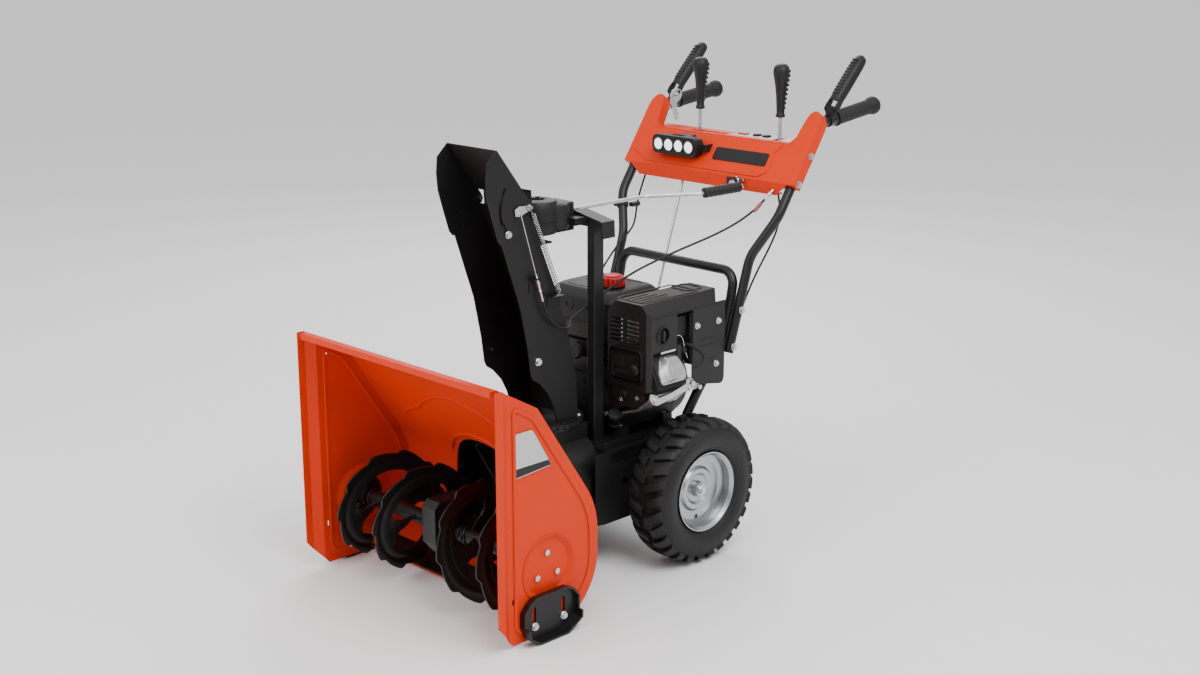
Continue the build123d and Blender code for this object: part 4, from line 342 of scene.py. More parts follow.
def wire(name, points, radius, look, body, slot, sharp=False):
    """A round bar, tube or cable along points in metres: a smooth NURBS line, or straight runs when sharp."""
    curve = bpy.data.curves.new(name, "CURVE")
    curve.dimensions = "3D"
    curve.bevel_depth = radius / 1000
    curve.bevel_resolution = 5
    curve.use_fill_caps = True
    curve.resolution_u = 10
    spline = curve.splines.new("POLY" if sharp else "NURBS")
    spline.points.add(len(points) - 1)
    for point, place in zip(spline.points, points):
        point.co = (*place, 1)
    if not sharp:
        spline.order_u = 3
        spline.use_endpoint_u = True
    curve.materials.append(look)
    obj = linked(name, curve)
    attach(obj, body)
    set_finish(obj, slot)
    return obj


def hex_head(seat, axis, size, parts):
    """Adds a flanged hexagon head to parts: seat in metres, pointing out along axis."""
    axis = Vector(axis).normalized()
    r = size * 0.85
    foot, shoulder, top = size * 0.2, size * 0.24, size * 0.86
    flange = [(0, 0), (size * 1.25, 0), (size * 1.2, 0.8), (r * 1.02, shoulder), (0, shoulder)]
    parts.append(lathe(flange, seat, axis, 28))
    parts.append(lathe([(0, foot), (r, foot), (r, size * 0.72), (r * 0.86, top), (0, top)], seat, axis, 6))


# ---------------------------------------------------------------- tyres
TYRE_X = (181.0, 285.0)
AXLE_Z = 165.0
LUGS = 28                            # in each of the two rows
LUG_SWEEP, LUG_HALF = 7.5, 2.9       # degrees: how far a lug leans, half its width at the middle
WALL_RIBS = ((101.5, 47.4), (138.5, 48.9))   # (radius, distance from the tyre's middle)


def tyre(side, tag):
    """Carcass with two rows of staggered lugs that curve round the shoulder, and ribs on both walls."""
    middle = (TYRE_X[0] + TYRE_X[1]) / 2
    wall = [(84.8, -35.5), (91, -37), (94.5, -42), (100, -46.5), (110, -50.2), (122, -51.6), (133, -50.4), (141, -47.6),
            (147, -44.5), (151, -39.5), (153.2, -26), (154, -10), (154, 10)]
    profile = wall + [(r, -x) for r, x in reversed(wall[:-2])]
    origin = mm(side * middle, 0, AXLE_Z)
    carcass = lathe(profile + [profile[0]], origin, (side, 0, 0), 120)
    outer = [(1.5, 164.7), (14, 164.5), (27, 163.6), (37, 161.4), (44, 157.5), (48.2, 152.5)]
    inner = [(1.5, 151.5), (14, 151.5), (27, 150.8), (37, 149), (42, 147), (45, 145.5)]
    parts = [carcass]
    pitch = 360 / LUGS
    for row in (-1, 1):
        for k in range(LUGS):
            base = k * pitch + (0 if row > 0 else pitch / 2)
            long_lug = k % 2 == 0    # every second lug starts one point further out
            start = 0 if long_lug else 1
            verts, faces = [], []
            for j in range(start, len(outer)):
                (xo, ro), (xi, ri) = outer[j], inner[j]
                centre = base + LUG_SWEEP * (xo / 48) ** 1.3
                half = LUG_HALF + 1.1 * (xo / 48) - (0.3 if long_lug else 0)
                for x, r, h in ((xo, ro, half), (xi, ri, half + 0.7)):
                    for s in (-1, 1):
                        a = radians(centre + s * h)
                        verts.append(mm(side * (middle + row * x), r * sin(a), AXLE_Z + r * cos(a)))
            n = len(verts) // 4
            for j in range(n - 1):
                a, b = 4 * j, 4 * j + 4
                faces += [(a, a + 1, b + 1, b), (a + 1, a + 3, b + 3, b + 1), (a + 3, a + 2, b + 2, b + 3),
                          (a + 2, a, b, b + 2)]
            faces += [(0, 2, 3, 1), (4 * n - 4, 4 * n - 3, 4 * n - 1, 4 * n - 2)]
            parts.append((verts, faces))
    for radius, x in WALL_RIBS:
        for s in (-1, 1):
            parts.append(lathe([(radius - 1.6, s * (x - 0.8)), (radius, s * (x + 1.0)), (radius + 1.6, s * (x - 0.8))],
                               origin, (side, 0, 0), 96))
    verts, faces = merge(parts)
    obj = piece("tyre_" + tag, verts, faces, TYRE, "wheels", "tyre", bevel=0.0012, angle=32)
    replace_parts(obj, "tyre_" + tag)


tyre(1, "left")
tyre(-1, "right")

# ---------------------------------------------------------------- augers
AUGER_Y, AUGER_Z, AUGER_R = -508.0, 144.0, 126.0
AUGER_X = (47.0, 256.0)
AUGER_TURNS, AUGER_START = 1.7, -80
FLIGHT_RINGS, FLIGHT_STEP, FLIGHT_R = 10, 3, 81   # rows across the ribbon, degrees per row, inner radius
TOOTH_PITCH, TOOTH_DEPTH, TOOTH_RISE, TOOTH_FALL = 36.0, 9.0, 0.82, 0.18
RIDGE_R, RIDGE_HEIGHT, RIDGE_WIDTH = 103, 3.2, 5.2
SPOKE_ANGLES = (18, 184, 367, 551)
SPOKE_ROWS = ((15, 44), (24, 34), (36, 22), (50, 16), (64, 18), (76, 27), (86, 38))   # (radius, half angle)
SPOKE_WIDE, SPOKE_DISH = 7, 2.5      # points across a spoke, depth of its dish
HUB_X, HUB_RINGS = (35, 269), (44, 60, 225, 262)


def tooth(a):
    """Blunt saw edge: how far the rim is drawn in at angle a, in degrees."""
    phase = (a / TOOTH_PITCH) % 1.0
    if phase < TOOTH_RISE:
        return TOOTH_DEPTH * (1 - min(1.0, phase / TOOTH_RISE))
    return TOOTH_DEPTH * (phase - TOOTH_RISE) / TOOTH_FALL


def flight_point(side, a, r, proud=0.0):
    """Point of the ribbon at angle a in degrees and radius r, proud mm out of its face."""
    x = AUGER_X[0] + (AUGER_X[1] - AUGER_X[0]) * a / (360 * AUGER_TURNS) + proud
    t = radians(AUGER_START + a)
    return mm(side * x, AUGER_Y - r * sin(t), AUGER_Z + r * cos(t))


def auger(side, tag):
    """Toothed ribbon with a pressed ridge, dished spokes, and a hub with its rings and shear bolt."""
    count, wide = int(360 * AUGER_TURNS / FLIGHT_STEP), FLIGHT_RINGS + 1
    verts, faces = [], []
    for k in range(count + 1):
        a = k * FLIGHT_STEP
        rim = AUGER_R - 0.4 - tooth(a)
        for j in range(wide):
            r = FLIGHT_R + (rim - FLIGHT_R) * j / FLIGHT_RINGS
            verts.append(flight_point(side, a, r, RIDGE_HEIGHT * exp(-((r - RIDGE_R) / RIDGE_WIDTH) ** 2)))
    for k in range(count):
        for j in range(FLIGHT_RINGS):
            q = k * wide + j
            faces.append((q, q + 1, q + wide + 1, q + wide))
    parts = [(verts, faces)]
    wide, middle = SPOKE_WIDE, SPOKE_WIDE // 2
    for centre in SPOKE_ANGLES:
        verts, faces = [], []
        for r, half in SPOKE_ROWS:
            for j in range(wide):
                a = centre - half + 2 * half * j / (wide - 1)
                a = min(max(a, 0), 360 * AUGER_TURNS)
                dish = SPOKE_DISH * cos(radians(90 * (j - middle) / middle))
                verts.append(flight_point(side, a, r, dish + 0.02))
        for i in range(len(SPOKE_ROWS) - 1):
            for j in range(wide - 1):
                q = wide * i + j
                faces.append((q, q + 1, q + wide + 1, q + wide))
        parts.append((verts, faces))
    verts, faces = merge(parts)
    flight = piece("auger_flight_" + tag, verts, faces, BLACK_PAINT, "auger", "black_paint", solid=0.0042,
                   bevel=0.0008, angle=50)
    start, end = HUB_X
    parts = [lathe([(13.2, 0), (16.4, 0), (16.4, 1), (16.4, end - start), (13.2, end - start)],
                   mm(side * start, AUGER_Y, AUGER_Z), (side, 0, 0), 40)]
    for x in HUB_RINGS:
        parts.append(lathe([(16, -5), (19.5, -4.5), (20, 0), (19.5, 4.5), (16, 5)],
                           mm(side * x, AUGER_Y, AUGER_Z), (side, 0, 0), 40))
    hex_head(mm(side * 60, AUGER_Y - 19, AUGER_Z), (0, -1, 0), 7, parts)
    piece("auger_hub_" + tag, *merge(parts), BLACK_PAINT, "auger", "black_paint", bevel=0.0006)
    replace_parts(flight, "auger_" + tag)


auger(1, "left")
auger(-1, "right")

# ---------------------------------------------------------------- chute spring, wire and cables
def helix(start, end, radius, turns, per_turn=14):
    """Points of a coil from start to end, in metres; radius in mm."""
    axis = end - start
    side = axis.orthogonal().normalized()
    other = axis.normalized().cross(side)
    count = int(turns * per_turn)
    points = []
    for k in range(count + 1):
        a = 2 * pi * k / per_turn
        points.append(start + axis * k / count + (side * cos(a) + other * sin(a)) * radius / 1000)
    return points


PIN = mm(87, -345, 823)
SPRING_LOW = mm(87, -265, 630)
along = (SPRING_LOW - PIN).normalized()
coil_top = PIN + along * 0.016
coil = helix(coil_top, SPRING_LOW - along * 0.004, 4.2, 36)
hook = [PIN + along * 0.0026 + Vector((0, 0.004, 0)), PIN + Vector((0, 0.0035, 0.0025)),
        PIN + Vector((0, -0.0035, 0.0025)), PIN + Vector((0, -0.004, -0.003)), coil_top - along * 0.004]
tail = [SPRING_LOW - along * 0.001, SPRING_LOW + along * 0.004]
spring = wire("spring_coil", hook + coil + tail, 0.95, SPRING, "chute", "zinc")
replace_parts(spring, "deflector_spring")
bracket = merge([prism([(75.2, -292), (94, -292), (94, -256), (75.2, -256)], (623.5, 625.5), on_z),
                 prism([(75.2, 600), (77.2, 600), (77.2, 625.5), (75.2, 625.5)], (-292, -256), on_y),
                 prism([(75.2, -342), (92, -342), (92, -318), (75.2, -318)], (668.5, 671), on_z),
                 prism([(75.2, 640), (77.2, 640), (77.2, 671), (75.2, 671)], (-342, -318), on_y)])
piece("spring_brackets", *bracket, CHUTE_PAINT, "chute", "black_paint", bevel=0.0008)
WIRE_TOP, WIRE_LOW = mm(86, -372, 812), mm(86, -329, 670)
down = (WIRE_LOW - WIRE_TOP).normalized()
wire("tilt_wire", [WIRE_TOP, WIRE_LOW + down * 0.002], 0.9, STEEL, "chute", "zinc", sharp=True)
sleeve = lathe([(0.9, -12), (1.8, -12), (1.8, -6), (3.0, -5), (3.0, 6), (4.6, 6), (4.6, 10), (3.2, 10), (3.2, 26),
                (4.1, 27), (4.1, 30), (3.3, 31), (3.3, 50), (2.7, 52), (0, 52)], WIRE_LOW, down, 24)
piece("wire_sleeve", *sleeve, ZINC, "chute", "zinc")
link_plate = merge([prism([(-384, 822), (-372, 828), (-340, 826), (-336, 820), (-342, 816), (-372, 806), (-382, 808)],
                          (79.4, 81.4), on_x),
                    lathe([(0, 0), (4.2, 0), (4.2, 3), (2.6, 3.5), (2.6, 8), (0, 8)], mm(81, -372, 812), (1, 0, 0),
                          20)])
piece("wire_anchor", *link_plate, ZINC, "chute", "zinc", bevel=0.0005)
CABLE = [(203, 268, 779), (196, 246, 758), (176, 205, 728), (150, 150, 702), (122, 86, 680), (100, 30, 660),
         (84, -30, 640), (66, -84, 612), (54, -134, 582), (50, -170, 566), (47, -197, 554), (66, -214, 547),
         (84, -236, 546), (86, -272, 556), (86, -303, 586)]
cable_start = WIRE_LOW + down * 0.051
cable = wire("tilt_cable", [mm(*p) for p in CABLE] + [cable_start], 2.6, RUBBER, "chassis", "black_rubber")


def as_mesh(obj, name):
    """Turns a curve or a modified piece into a plain mesh object with the same slot."""
    bpy.context.view_layer.update()
    mesh = bpy.data.meshes.new_from_object(obj.evaluated_get(bpy.context.evaluated_depsgraph_get()))
    mesh.name = name
    out = linked(name, mesh)
    slot_name = obj["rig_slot"]
    bpy.data.objects.remove(obj)
    out.name = name
    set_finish(out, slot_name)
    return out


cable = as_mesh(cable, "tilt_cable")
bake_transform(cable)
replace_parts(cable, "tilt_cable", "chute_cable")
CABLE_TOP, CABLE_NEXT = mm(*CABLE[0]), mm(*CABLE[1])
adjuster = lathe([(0, -4), (3.4, -4), (3.4, 8), (4.6, 9), (4.6, 15), (3.2, 16), (3.2, 24), (2.6, 26), (0, 26)],
                 CABLE_TOP, CABLE_TOP - CABLE_NEXT, 20)
piece("tilt_adjuster", *adjuster, ZINC, "chassis", "zinc")
boot = lathe([(2.7, 0), (4.2, 1), (4.2, 20), (3.4, 26), (2.7, 27)], mm(199.5, 257, 768.5), CABLE_NEXT - CABLE_TOP, 20)
piece("tilt_boot", *boot, BOOT, "chassis", "red_plastic")
CLUTCH_LEFT = [(208, 306, 783.2), (220, 302, 752), (225, 288, 712), (216, 268, 664), (200, 240, 604), (186, 222, 546),
               (176, 206, 490), (162, 184, 436), (148, 158, 384), (136, 118, 330), (130, 88, 304), (130, 88, 272.4)]
CLUTCH_RIGHT = [(-206, 306, 783.2), (-213, 298, 752), (-212, 282, 712), (-200, 262, 668), (-182, 222, 652),
                (-172, 170, 628), (-164, 112, 582), (-162, 66, 530), (-160, 40, 474), (-152, 26, 414), (-136, 20, 352),
                (-128, 20, 272.4)]
left_cable = wire("clutch_cable_left", [mm(*p) for p in CLUTCH_LEFT], 2.4, RUBBER, "chassis", "black_rubber")
wire("clutch_cable_right", [mm(*p) for p in CLUTCH_RIGHT], 2.4, RUBBER, "chassis", "black_rubber")
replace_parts(left_cable, "clutch_cables")
tube_run = mm(-244, 263, 740) - mm(-199, 222, 650)
clip = merge([lathe([(11.3, -6), (14.2, -6), (14.2, 6), (11.3, 6)], mm(-229.5, 249.5, 711), tube_run, 32),
              prism(rounded(-222, -207, 262, 290, 3), (706, 716), on_z),
              prism(rounded(-256, -240, 243, 257, 2), (705, 717), on_z)])
piece("cable_clip", *clip, SOFT_PLASTIC, "chassis", "black_plastic", bevel=0.0008)

# ---------------------------------------------------------------- grips, knobs and hand levers
BEND, END = mm(244, 398, 938), mm(244, 597, 962)
GRIP_AXIS = (END - BEND).normalized()
GRIP_LENGTH, GRIP_PITCH = 153.5, 12.5


def grip(side, tag):
    """Rubber sleeve with a collar, rings every pitch and a bulbous end."""
    origin = BEND + GRIP_AXIS * 0.062
    origin.x *= side
    length = GRIP_LENGTH
    profile = [(11.3, 0), (17.8, 0), (18.6, 2), (18.6, 5), (16.4, 8)]
    t = 12.0
    while t < length - 38:
        profile += [(16.6, t), (17.3, t + 1.5), (17.3, t + 8.5), (16.6, t + 10), (15.9, t + 11)]
        t += GRIP_PITCH
    profile += [(16.6, length - 30), (19.5, length - 20), (21.3, length - 13), (21.3, length - 8), (19.6, length - 3),
                (15, length - 0.6), (0, length)]
    return piece("grip_" + tag, *lathe(profile, origin, GRIP_AXIS), RUBBER, "chassis", "black_rubber", angle=60)


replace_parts(grip(1, "left"), "handle_grips")
grip(-1, "right")


KNOB_TOP, KNOB_RIBS = 1069, 9


def oval(r, a):
    """Radius r drawn in on two opposite sides."""
    return r * (1 - 0.09 * cos(2 * a))


def knob(name, x, y, body, node, pivot_z, axis):
    """Tapered lever knob with a ladder of ribs on its left side, on a bright steel shaft."""
    top = KNOB_TOP
    profile = [(0, -122), (10.2, -122), (12.2, -120.5), (12.2, -117), (10.0, -114), (10.6, -100), (12.2, -75),
               (15.2, -50), (18.6, -33), (20.8, -22), (20.6, -14), (18, -6.5), (12.5, -1.6), (6, -0.2), (0, 0)]
    obj = piece(name, *lathe(profile, mm(x, y, top), (0, 0, 1), turn=oval), PLASTIC, body, "black_plastic", angle=70)
    ribs = []
    for k in range(KNOB_RIBS):
        z = top - 16 - 10.5 * k
        half = 8.5 - 0.55 * k
        reach = 19.5 if k < 2 else 20.6 - 1.28 * k
        rung = rounded(y - half, y + half, z - 3.1, z + 3.1, 1.4, 3)
        ribs.append(prism(rung, (x + reach - 4, x + reach + 1.4), on_x))
    piece(name + "_ribs", *merge(ribs), SOFT_PLASTIC, body, "black_plastic", bevel=0.0008)
    wire(name + "_shaft", [mm(x, y, pivot_z), mm(x, y, top - 118)], 4.5, STEEL, body, "black_plastic", sharp=True)
    boss = lathe([(4.3, -12), (9, -12), (9, 12), (4.3, 12)], mm(x, y, pivot_z), axis, 28)
    piece(name + "_boss", *boss, ZINC, body, "black_plastic", bevel=0.0005)
    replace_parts(obj, node)


knob("shift_knob", -85, 366, "shift", "shift_lever", 790, (0, 1, 0))
knob("tilt_knob", 150, 378, "tilt", "tilt_lever", 830, (1, 0, 0))

PIVOT_X, PIVOT_Y, PIVOT_Z = 244, 446.0, 968.0
LEVER_OPEN = radians(45)             # the paddle's rise behind its pivot at rest
LEVER_RIBS, RIB_PITCH = 12, 9.0


def hand_lever(side, tag):
    """Open channel paddle with a ribbed back, side ears and a pivot pin."""
    body = "clutch_" + tag
    centre = mm(side * PIVOT_X, PIVOT_Y, PIVOT_Z)
    turn = Matrix.Rotation(LEVER_OPEN, 3, "X")

    def place(u, v, w):
        return centre + turn @ Vector((u / 1000, v / 1000, w / 1000))

    stations = [(16, 13.2, 11), (24, 15.4, 15.5), (60, 16, 17), (110, 15.8, 16.5), (136, 15.2, 15.5), (149, 12.5, 12.5),
                (155, 6, 7)]
    crown = [(-0.86, 0.62), (-0.55, 0.93), (0, 1.0), (0.55, 0.93), (0.86, 0.62)]
    verts, faces = [], []
    for v, half, top in stations:
        section = [(-1.0, -6), (-1.0, 2)] + [(u, w * top) for u, w in crown] + [(1.0, 2), (1.0, -6)]
        verts += [place(u * half, v, w) for u, w in section]
    n = len(crown) + 4
    for k in range(len(stations) - 1):
        for j in range(n - 1):
            q = k * n + j
            faces.append((q, q + 1, q + n + 1, q + n))
    shell = piece("lever_" + tag, verts, faces, PLASTIC, body, "black_paint", solid=0.0024, sub=1, angle=80)
    ribs = []
    for k in range(LEVER_RIBS):
        v = 34 + RIB_PITCH * k
        ribs.append(prism([(-9.5, v), (9.5, v), (9.5, v + 3.2), (-9.5, v + 3.2)], (15.2, 17.8), place))
    piece("lever_ribs_" + tag, *merge(ribs), SOFT_PLASTIC, body, "black_paint", bevel=0.0009)
    ear = [(-9, -5), (4, -9), (26, -6), (28, 8), (8, 10), (-6, 8)]
    ears = [prism(ear, (u, u + 2.4), lambda a, b, w: place(w, a, b)) for u in (-15, 12.6)]
    ears.append(lathe([(0, -17.5), (5, -17.5), (5, -15.2), (2.9, -15.2), (2.9, 15.2), (5, 15.2), (5, 17.5), (0, 17.5)],
                      centre, (1, 0, 0), 24))
    piece("lever_ears_" + tag, *merge(ears), BLACK_PAINT, body, "black_paint", bevel=0.0005)
    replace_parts(shell, "clutch_lever_" + tag)


hand_lever(1, "left")
hand_lever(-1, "right")
# bright interlock plate under the right hand lever
cam = [(414, 962), (424, 975), (438, 979), (452, 974), (458, 962), (452, 949), (440, 943), (438, 926), (446, 912),
       (443, 900), (434, 898), (428, 908), (424, 930), (414, 944)]
cam_parts = [prism(cam, (-229.5, -227.2), on_x), prism(rounded(404, 424, 926, 944, 5), (-232, -230), on_x)]
hex_head(mm(-227.2, 436, 962), (1, 0, 0), 7, cam_parts)
hex_head(mm(-227.2, 435, 908), (1, 0, 0), 4, cam_parts)
piece("interlock_plate", *merge(cam_parts), ZINC, "chassis", "zinc", bevel=0.0005)

# crank grip: ribbed sleeve between two collars
ROD_START, EYE = mm(0, -158, 782), mm(111, 272, 807)
crank_axis = (EYE - ROD_START).normalized()
out = -Vector((0, 0, 1)).cross(crank_axis).normalized()
grip_from = EYE - crank_axis * 0.130 + out * 0.060
profile = [(4.1, 0), (9, 0), (11.4, 1.5), (11.9, 4), (11.9, 9), (10.9, 12)]
for t in range(14, 81, 11):
    profile += [(11.0, t), (11.9, t + 2), (11.9, t + 8), (11.0, t + 10)]
profile += [(11.6, 92), (11.9, 95), (11, 97.4), (4.1, 98)]
crank_grip = lathe(profile, grip_from, crank_axis, 40)
crank_grip = piece("crank_grip", *crank_grip, PLASTIC, "crank", "black_plastic", angle=60)
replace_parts(crank_grip, "crank_grip")

# ---------------------------------------------------------------- headlamp
LAMP_X, LAMP_Y, LAMP_Z = -95.0, 318.0, 866.0


def on_lamp(u, v, w):
    """Outline in (x, z) and depth along y, all from the lamp's middle."""
    return mm(LAMP_X + u, LAMP_Y + w, LAMP_Z + v)


def lamp_box(x, y, z):
    """Block between two limits on each axis, from the lamp's middle."""
    return box([LAMP_X + u for u in x], [LAMP_Y + u for u in y], [LAMP_Z + u for u in z])


case = [(-70, -8), (-66, -19), (-58, -23), (58, -23), (66, -18), (70, -8), (70, 9), (66, 18), (58, 22), (-60, 22),
        (-67, 17), (-70, 8)]
lamp_seats = [on_lamp(-48 + 32 * k, 0, -34) for k in range(4)]
lamp_parts = [prism(case, (-34, -6), on_lamp)]
lamp_parts += [lathe([(13.4, 0), (13.6, 4), (16, 4.4), (17, 2), (17.4, -10), (17.4, -26)], seat, (0, -1, 0), 40)
               for seat in lamp_seats]
lamp_parts += [lamp_box((-22, 22), (-22, 22), (18, 22)), lamp_box((66, 82), (-14, -10), (-10, 8)),
               lamp_box((80, 84), (-14, 12), (-10, 8))]
lamp = piece("headlamp_body", *merge(lamp_parts), PLASTIC, "chassis", "black_plastic", bevel=0.0016, segments=3)
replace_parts(lamp, "headlamp")
lenses = [lathe([(13.3, -1), (13.3, 1.2), (11.5, 2.2), (7, 3.0), (0, 3.3)], seat, (0, -1, 0), 36)
          for seat in lamp_seats]
piece("headlamp_lenses", *merge(lenses), LENS, "chassis", "black_plastic", angle=60)
cups = [box((x - h, x + h), (370, 394), (865, 891.5)) for x, h in ((38, 16), (80, 11), (108, 11))]
piece("switch_cups", *merge(cups), SOFT_PLASTIC, "chassis", "black_plastic", bevel=0.0012)

# ---------------------------------------------------------------- engine dress
BARREL = Matrix.Translation(mm(128, -48, 407)) @ Matrix.Rotation(radians(-25), 4, "Y")


def on_barrel(u, v, w):
    """Outline (u along y, v across the cylinder) with its depth along the leaning cylinder."""
    return BARREL @ Vector((w / 1000, u / 1000, v / 1000))


head = merge([prism(rounded(-48, 48, -42, 42, 8), (59.2, 62.5), on_barrel)] +
             [prism(rounded(-46, 46, -40, 40, 7), (64.5 + 5 * k, 67.3 + 5 * k), on_barrel) for k in range(3)] +
             [prism(rounded(-40, 40, -34, 34, 5), (60, 80), on_barrel)])
piece("cylinder_head", *head, DARK_CAST, "chassis", "engine_metal", bevel=0.0007)
stations = [(76, 1.0), (84, 1.0), (88, 0.9), (100, 0.82), (104, 0.74)]   # (height, share of the section)
section = [(-35, -27), (-30, -31), (30, -31), (35, -27), (35, -4), (20, 27), (14, 31), (-14, 31), (-20, 27), (-35, -4)]
verts = [on_barrel(u * share, v * share, height) for height, share in stations for u, v in section]
n, rows = len(section), len(stations)
cover_parts = [(verts, tube_faces(rows, n) + [tuple(range((rows - 1) * n, rows * n))])]
for k in range(4):
    u = -13.5 + 7.5 * k
    cover_parts.append(prism(rounded(u, u + 3.4, -15, 4, 1.5, 3), (103, 105.4), on_barrel))
for u in (-31, 31):
    hex_head(on_barrel(u, -24, 86), BARREL.to_3x3() @ Vector((1, 0, 0)), 5.5, cover_parts)
cover = piece("valve_cover", *merge(cover_parts), CAST, "chassis", "engine_metal", bevel=0.0012)
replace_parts(cover, "valve_cover")
# bracket, plug and choke linkage beside the valve cover
bracket = [(-108, 384), (-100, 372), (-84, 366), (-40, 372), (4, 380), (22, 376), (30, 386), (22, 398), (6, 396),
           (-40, 386), (-78, 382), (-92, 392), (-104, 396)]
bracket_parts = [prism(bracket, (199, 203), on_x)]
for y, z in ((-96, 382), (18, 387)):
    hex_head(mm(203, y, z), (1, 0, 0), 7, bracket_parts)
piece("head_bracket", *merge(bracket_parts), CAST, "chassis", "engine_metal", bevel=0.001)
plug = merge([lathe([(0, 16), (7, 16), (8, 13), (8, 6), (13, 5), (14, 2), (14, -24), (0, -24)], mm(196, 24, 393),
                    (1, 0, 0.1), 28),
              lathe([(0, 8), (6, 8), (6, 0)], mm(206, 44, 384), (1, 0, 0), 6), box((188, 202), (30, 50), (378, 390))])
piece("plug_base", *plug, CAST, "chassis", "engine_metal", bevel=0.0006)
link_bits = merge([prism(rounded(-70, -22, 478, 483, 2), (186, 199), on_x),
                   prism(rounded(-64, -30, 486, 489, 1.4), (188, 198), on_x)])
piece("choke_link", *link_bits, STEEL, "chassis", "zinc", bevel=0.0005)

# hood: screws, choke knob, raised lines and rims
HOOD_X = 200                         # side face of the hood
hood_bits = []
for y, z in ((46, 522), (117, 521), (111, 423)):
    hex_head(mm(HOOD_X, y, z), (1, 0, 0), 6.5, hood_bits)
piece("hood_screws", *merge(hood_bits), ZINC, "chassis", "zinc", bevel=0.0004)
knob_bits = [lathe([(19.5, -2), (21.5, 0.3), (21.5, 2), (18, 2.2), (17.2, -1)], mm(HOOD_X, -64, 519), (1, 0, 0), 40),
             lathe([(0, -10), (15, -10), (15, -3), (13, -1.2), (0, -1.2)], mm(HOOD_X - 1, -64, 519), (1, 0, 0), 8),
             prism(rounded(-67, -61, 506, 532, 2.5, 3), (195, 203), on_x)]
piece("choke_knob", *merge(knob_bits), SOFT_PLASTIC, "chassis", "black_plastic", bevel=0.0008)


def frame_rim(outline, inner, depth, place):
    """A raised closed rim between two outlines with the same number of points."""
    rings = ((outline, depth[0]), (outline, depth[1]), (inner, depth[1]), (inner, depth[0]))
    return [place(u, v, w) for ring, w in rings for u, v in ring], tube_faces(len(rings), len(outline))


LINE_DEPTH = (199.6, 201)            # raised lines of the hood's side
trim = [prism(rounded(40, 112, 437, 440, 1.4, 3), LINE_DEPTH, on_x),
        prism(rounded(58, 108, 484, 487, 1.4, 3), LINE_DEPTH, on_x),
        prism(rounded(58, 108, 470, 473, 1.4, 3), LINE_DEPTH, on_x),
        frame_rim(rounded(86, 172, -96, 84, 10), rounded(90, 168, -92, 80, 8), (589.6, 591.6), on_z),
        frame_rim(rounded(100, 158, 60, 114, 12), rounded(103, 155, 63, 111, 10), (589.8, 592), on_z)]
piece("hood_trim", *merge(trim), PLASTIC, "chassis", "black_plastic", bevel=0.0006)
# engine front: switch panel under the louvres, oil filler, linkage and fan case ribs
front = [frame_rim(rounded(88, 184, 416, 488, 12), rounded(94, 178, 422, 482, 8), (-118, -108), on_y),
         prism(rounded(90, 182, 418, 486, 10), (-112, -104), on_y),
         prism(rounded(104, 128, 446, 472, 4), (-116, -110), on_y),
         prism(rounded(136, 152, 446, 474, 4), (-115, -110), on_y),
         prism(rounded(104, 150, 428, 438, 3), (-115, -110), on_y),
         lathe([(0, 14), (10, 14), (13, 12), (13, 0), (16, 0), (16, -6)], mm(166, -112, 446), (0, -1, 0), 24),
         prism([(88, 416), (88, 372), (112, 352), (150, 352), (176, 372), (184, 400), (182, 416)], (-106, -90), on_y),
         lathe([(0, 12), (8, 12), (9, 9), (9, 0)], mm(128, -106, 384), (0, -1, 0), 20)]
piece("control_block", *merge(front), PLASTIC, "chassis", "black_plastic", bevel=0.0012)
small = []
for x, z, size in ((112, 366, 5), (160, 378, 5), (66, 322, 7), (-66, 322, 7)):
    hex_head(mm(x, -106, z), (0, -1, 0), size, small)
for x in (-88, 82):
    for y in (-79, 63):
        hex_head(mm(x, y, 294), (0, 0, 1), 7, small)
piece("engine_screws", *merge(small), ZINC, "chassis", "zinc", bevel=0.0003)
fins = []
for k in range(10):
    fins.append(prism(rounded(-88, -78, -100 + 19 * k, -92 + 19 * k, 2, 2), (330, 386), on_z))
for k in range(6):
    a = radians(30 + 60 * k)
    fins.append(lathe([(0, 0), (7, 0), (6, 9), (0, 9)], mm(56 * cos(a), -105, 345 + 56 * sin(a)), (0, -1, 0), 20))
piece("case_ribs", *merge(fins), DARK_CAST, "chassis", "engine_metal", bevel=0.0012)
oil = lathe([(0, 0), (13, 0), (13, 4), (10, 5), (10, 22), (16, 24), (17, 30), (15, 36), (0, 38)], mm(84, -96, 300),
            (0.35, -0.35, 0.85), 16)
piece("oil_filler", *oil, PLASTIC, "chassis", "black_plastic", bevel=0.0008)
LINES = {
    "throttle_link": ([(186, -40, 500), (190, -10, 512), (188, 12, 500), (186, 20, 470), (190, 26, 450)],
                      1.3, STEEL, "zinc"),
    "fuel_pipe": ([(60, -60, 480), (74, -80, 470), (80, -92, 452), (84, -96, 430), (92, -88, 412)],
                  3.6, RUBBER, "black_rubber"),
    "spark_lead": ([(226, 8, 440), (240, 16, 446), (236, 34, 458), (214, 38, 470), (190, 24, 486), (160, 6, 480)],
                   3.2, RUBBER, "black_rubber"),
}
for name, (points, radius, look, slot) in LINES.items():
    wire(name, [mm(*point) for point in points], radius, look, "chassis", slot)
side_parts = [prism([(-18, 412), (32, 412), (32, 556), (-18, 556)], (172, 174), on_x),
              prism(rounded(-10, 26, 500, 548, 6), (174, 184), on_x),
              prism(rounded(-8, 6, 430, 486, 4), (174, 190), on_x),
              lathe([(0, 16), (6, 16), (8, 12), (8, 0)], mm(176, 16, 470), (1, 0, 0), 20),
              lathe([(0, 14), (5, 14), (7, 10), (7, 0)], mm(176, 14, 442), (1, 0, 0), 20)]
piece("governor_case", *merge(side_parts), DARK_CAST, "chassis", "engine_metal", bevel=0.0014)
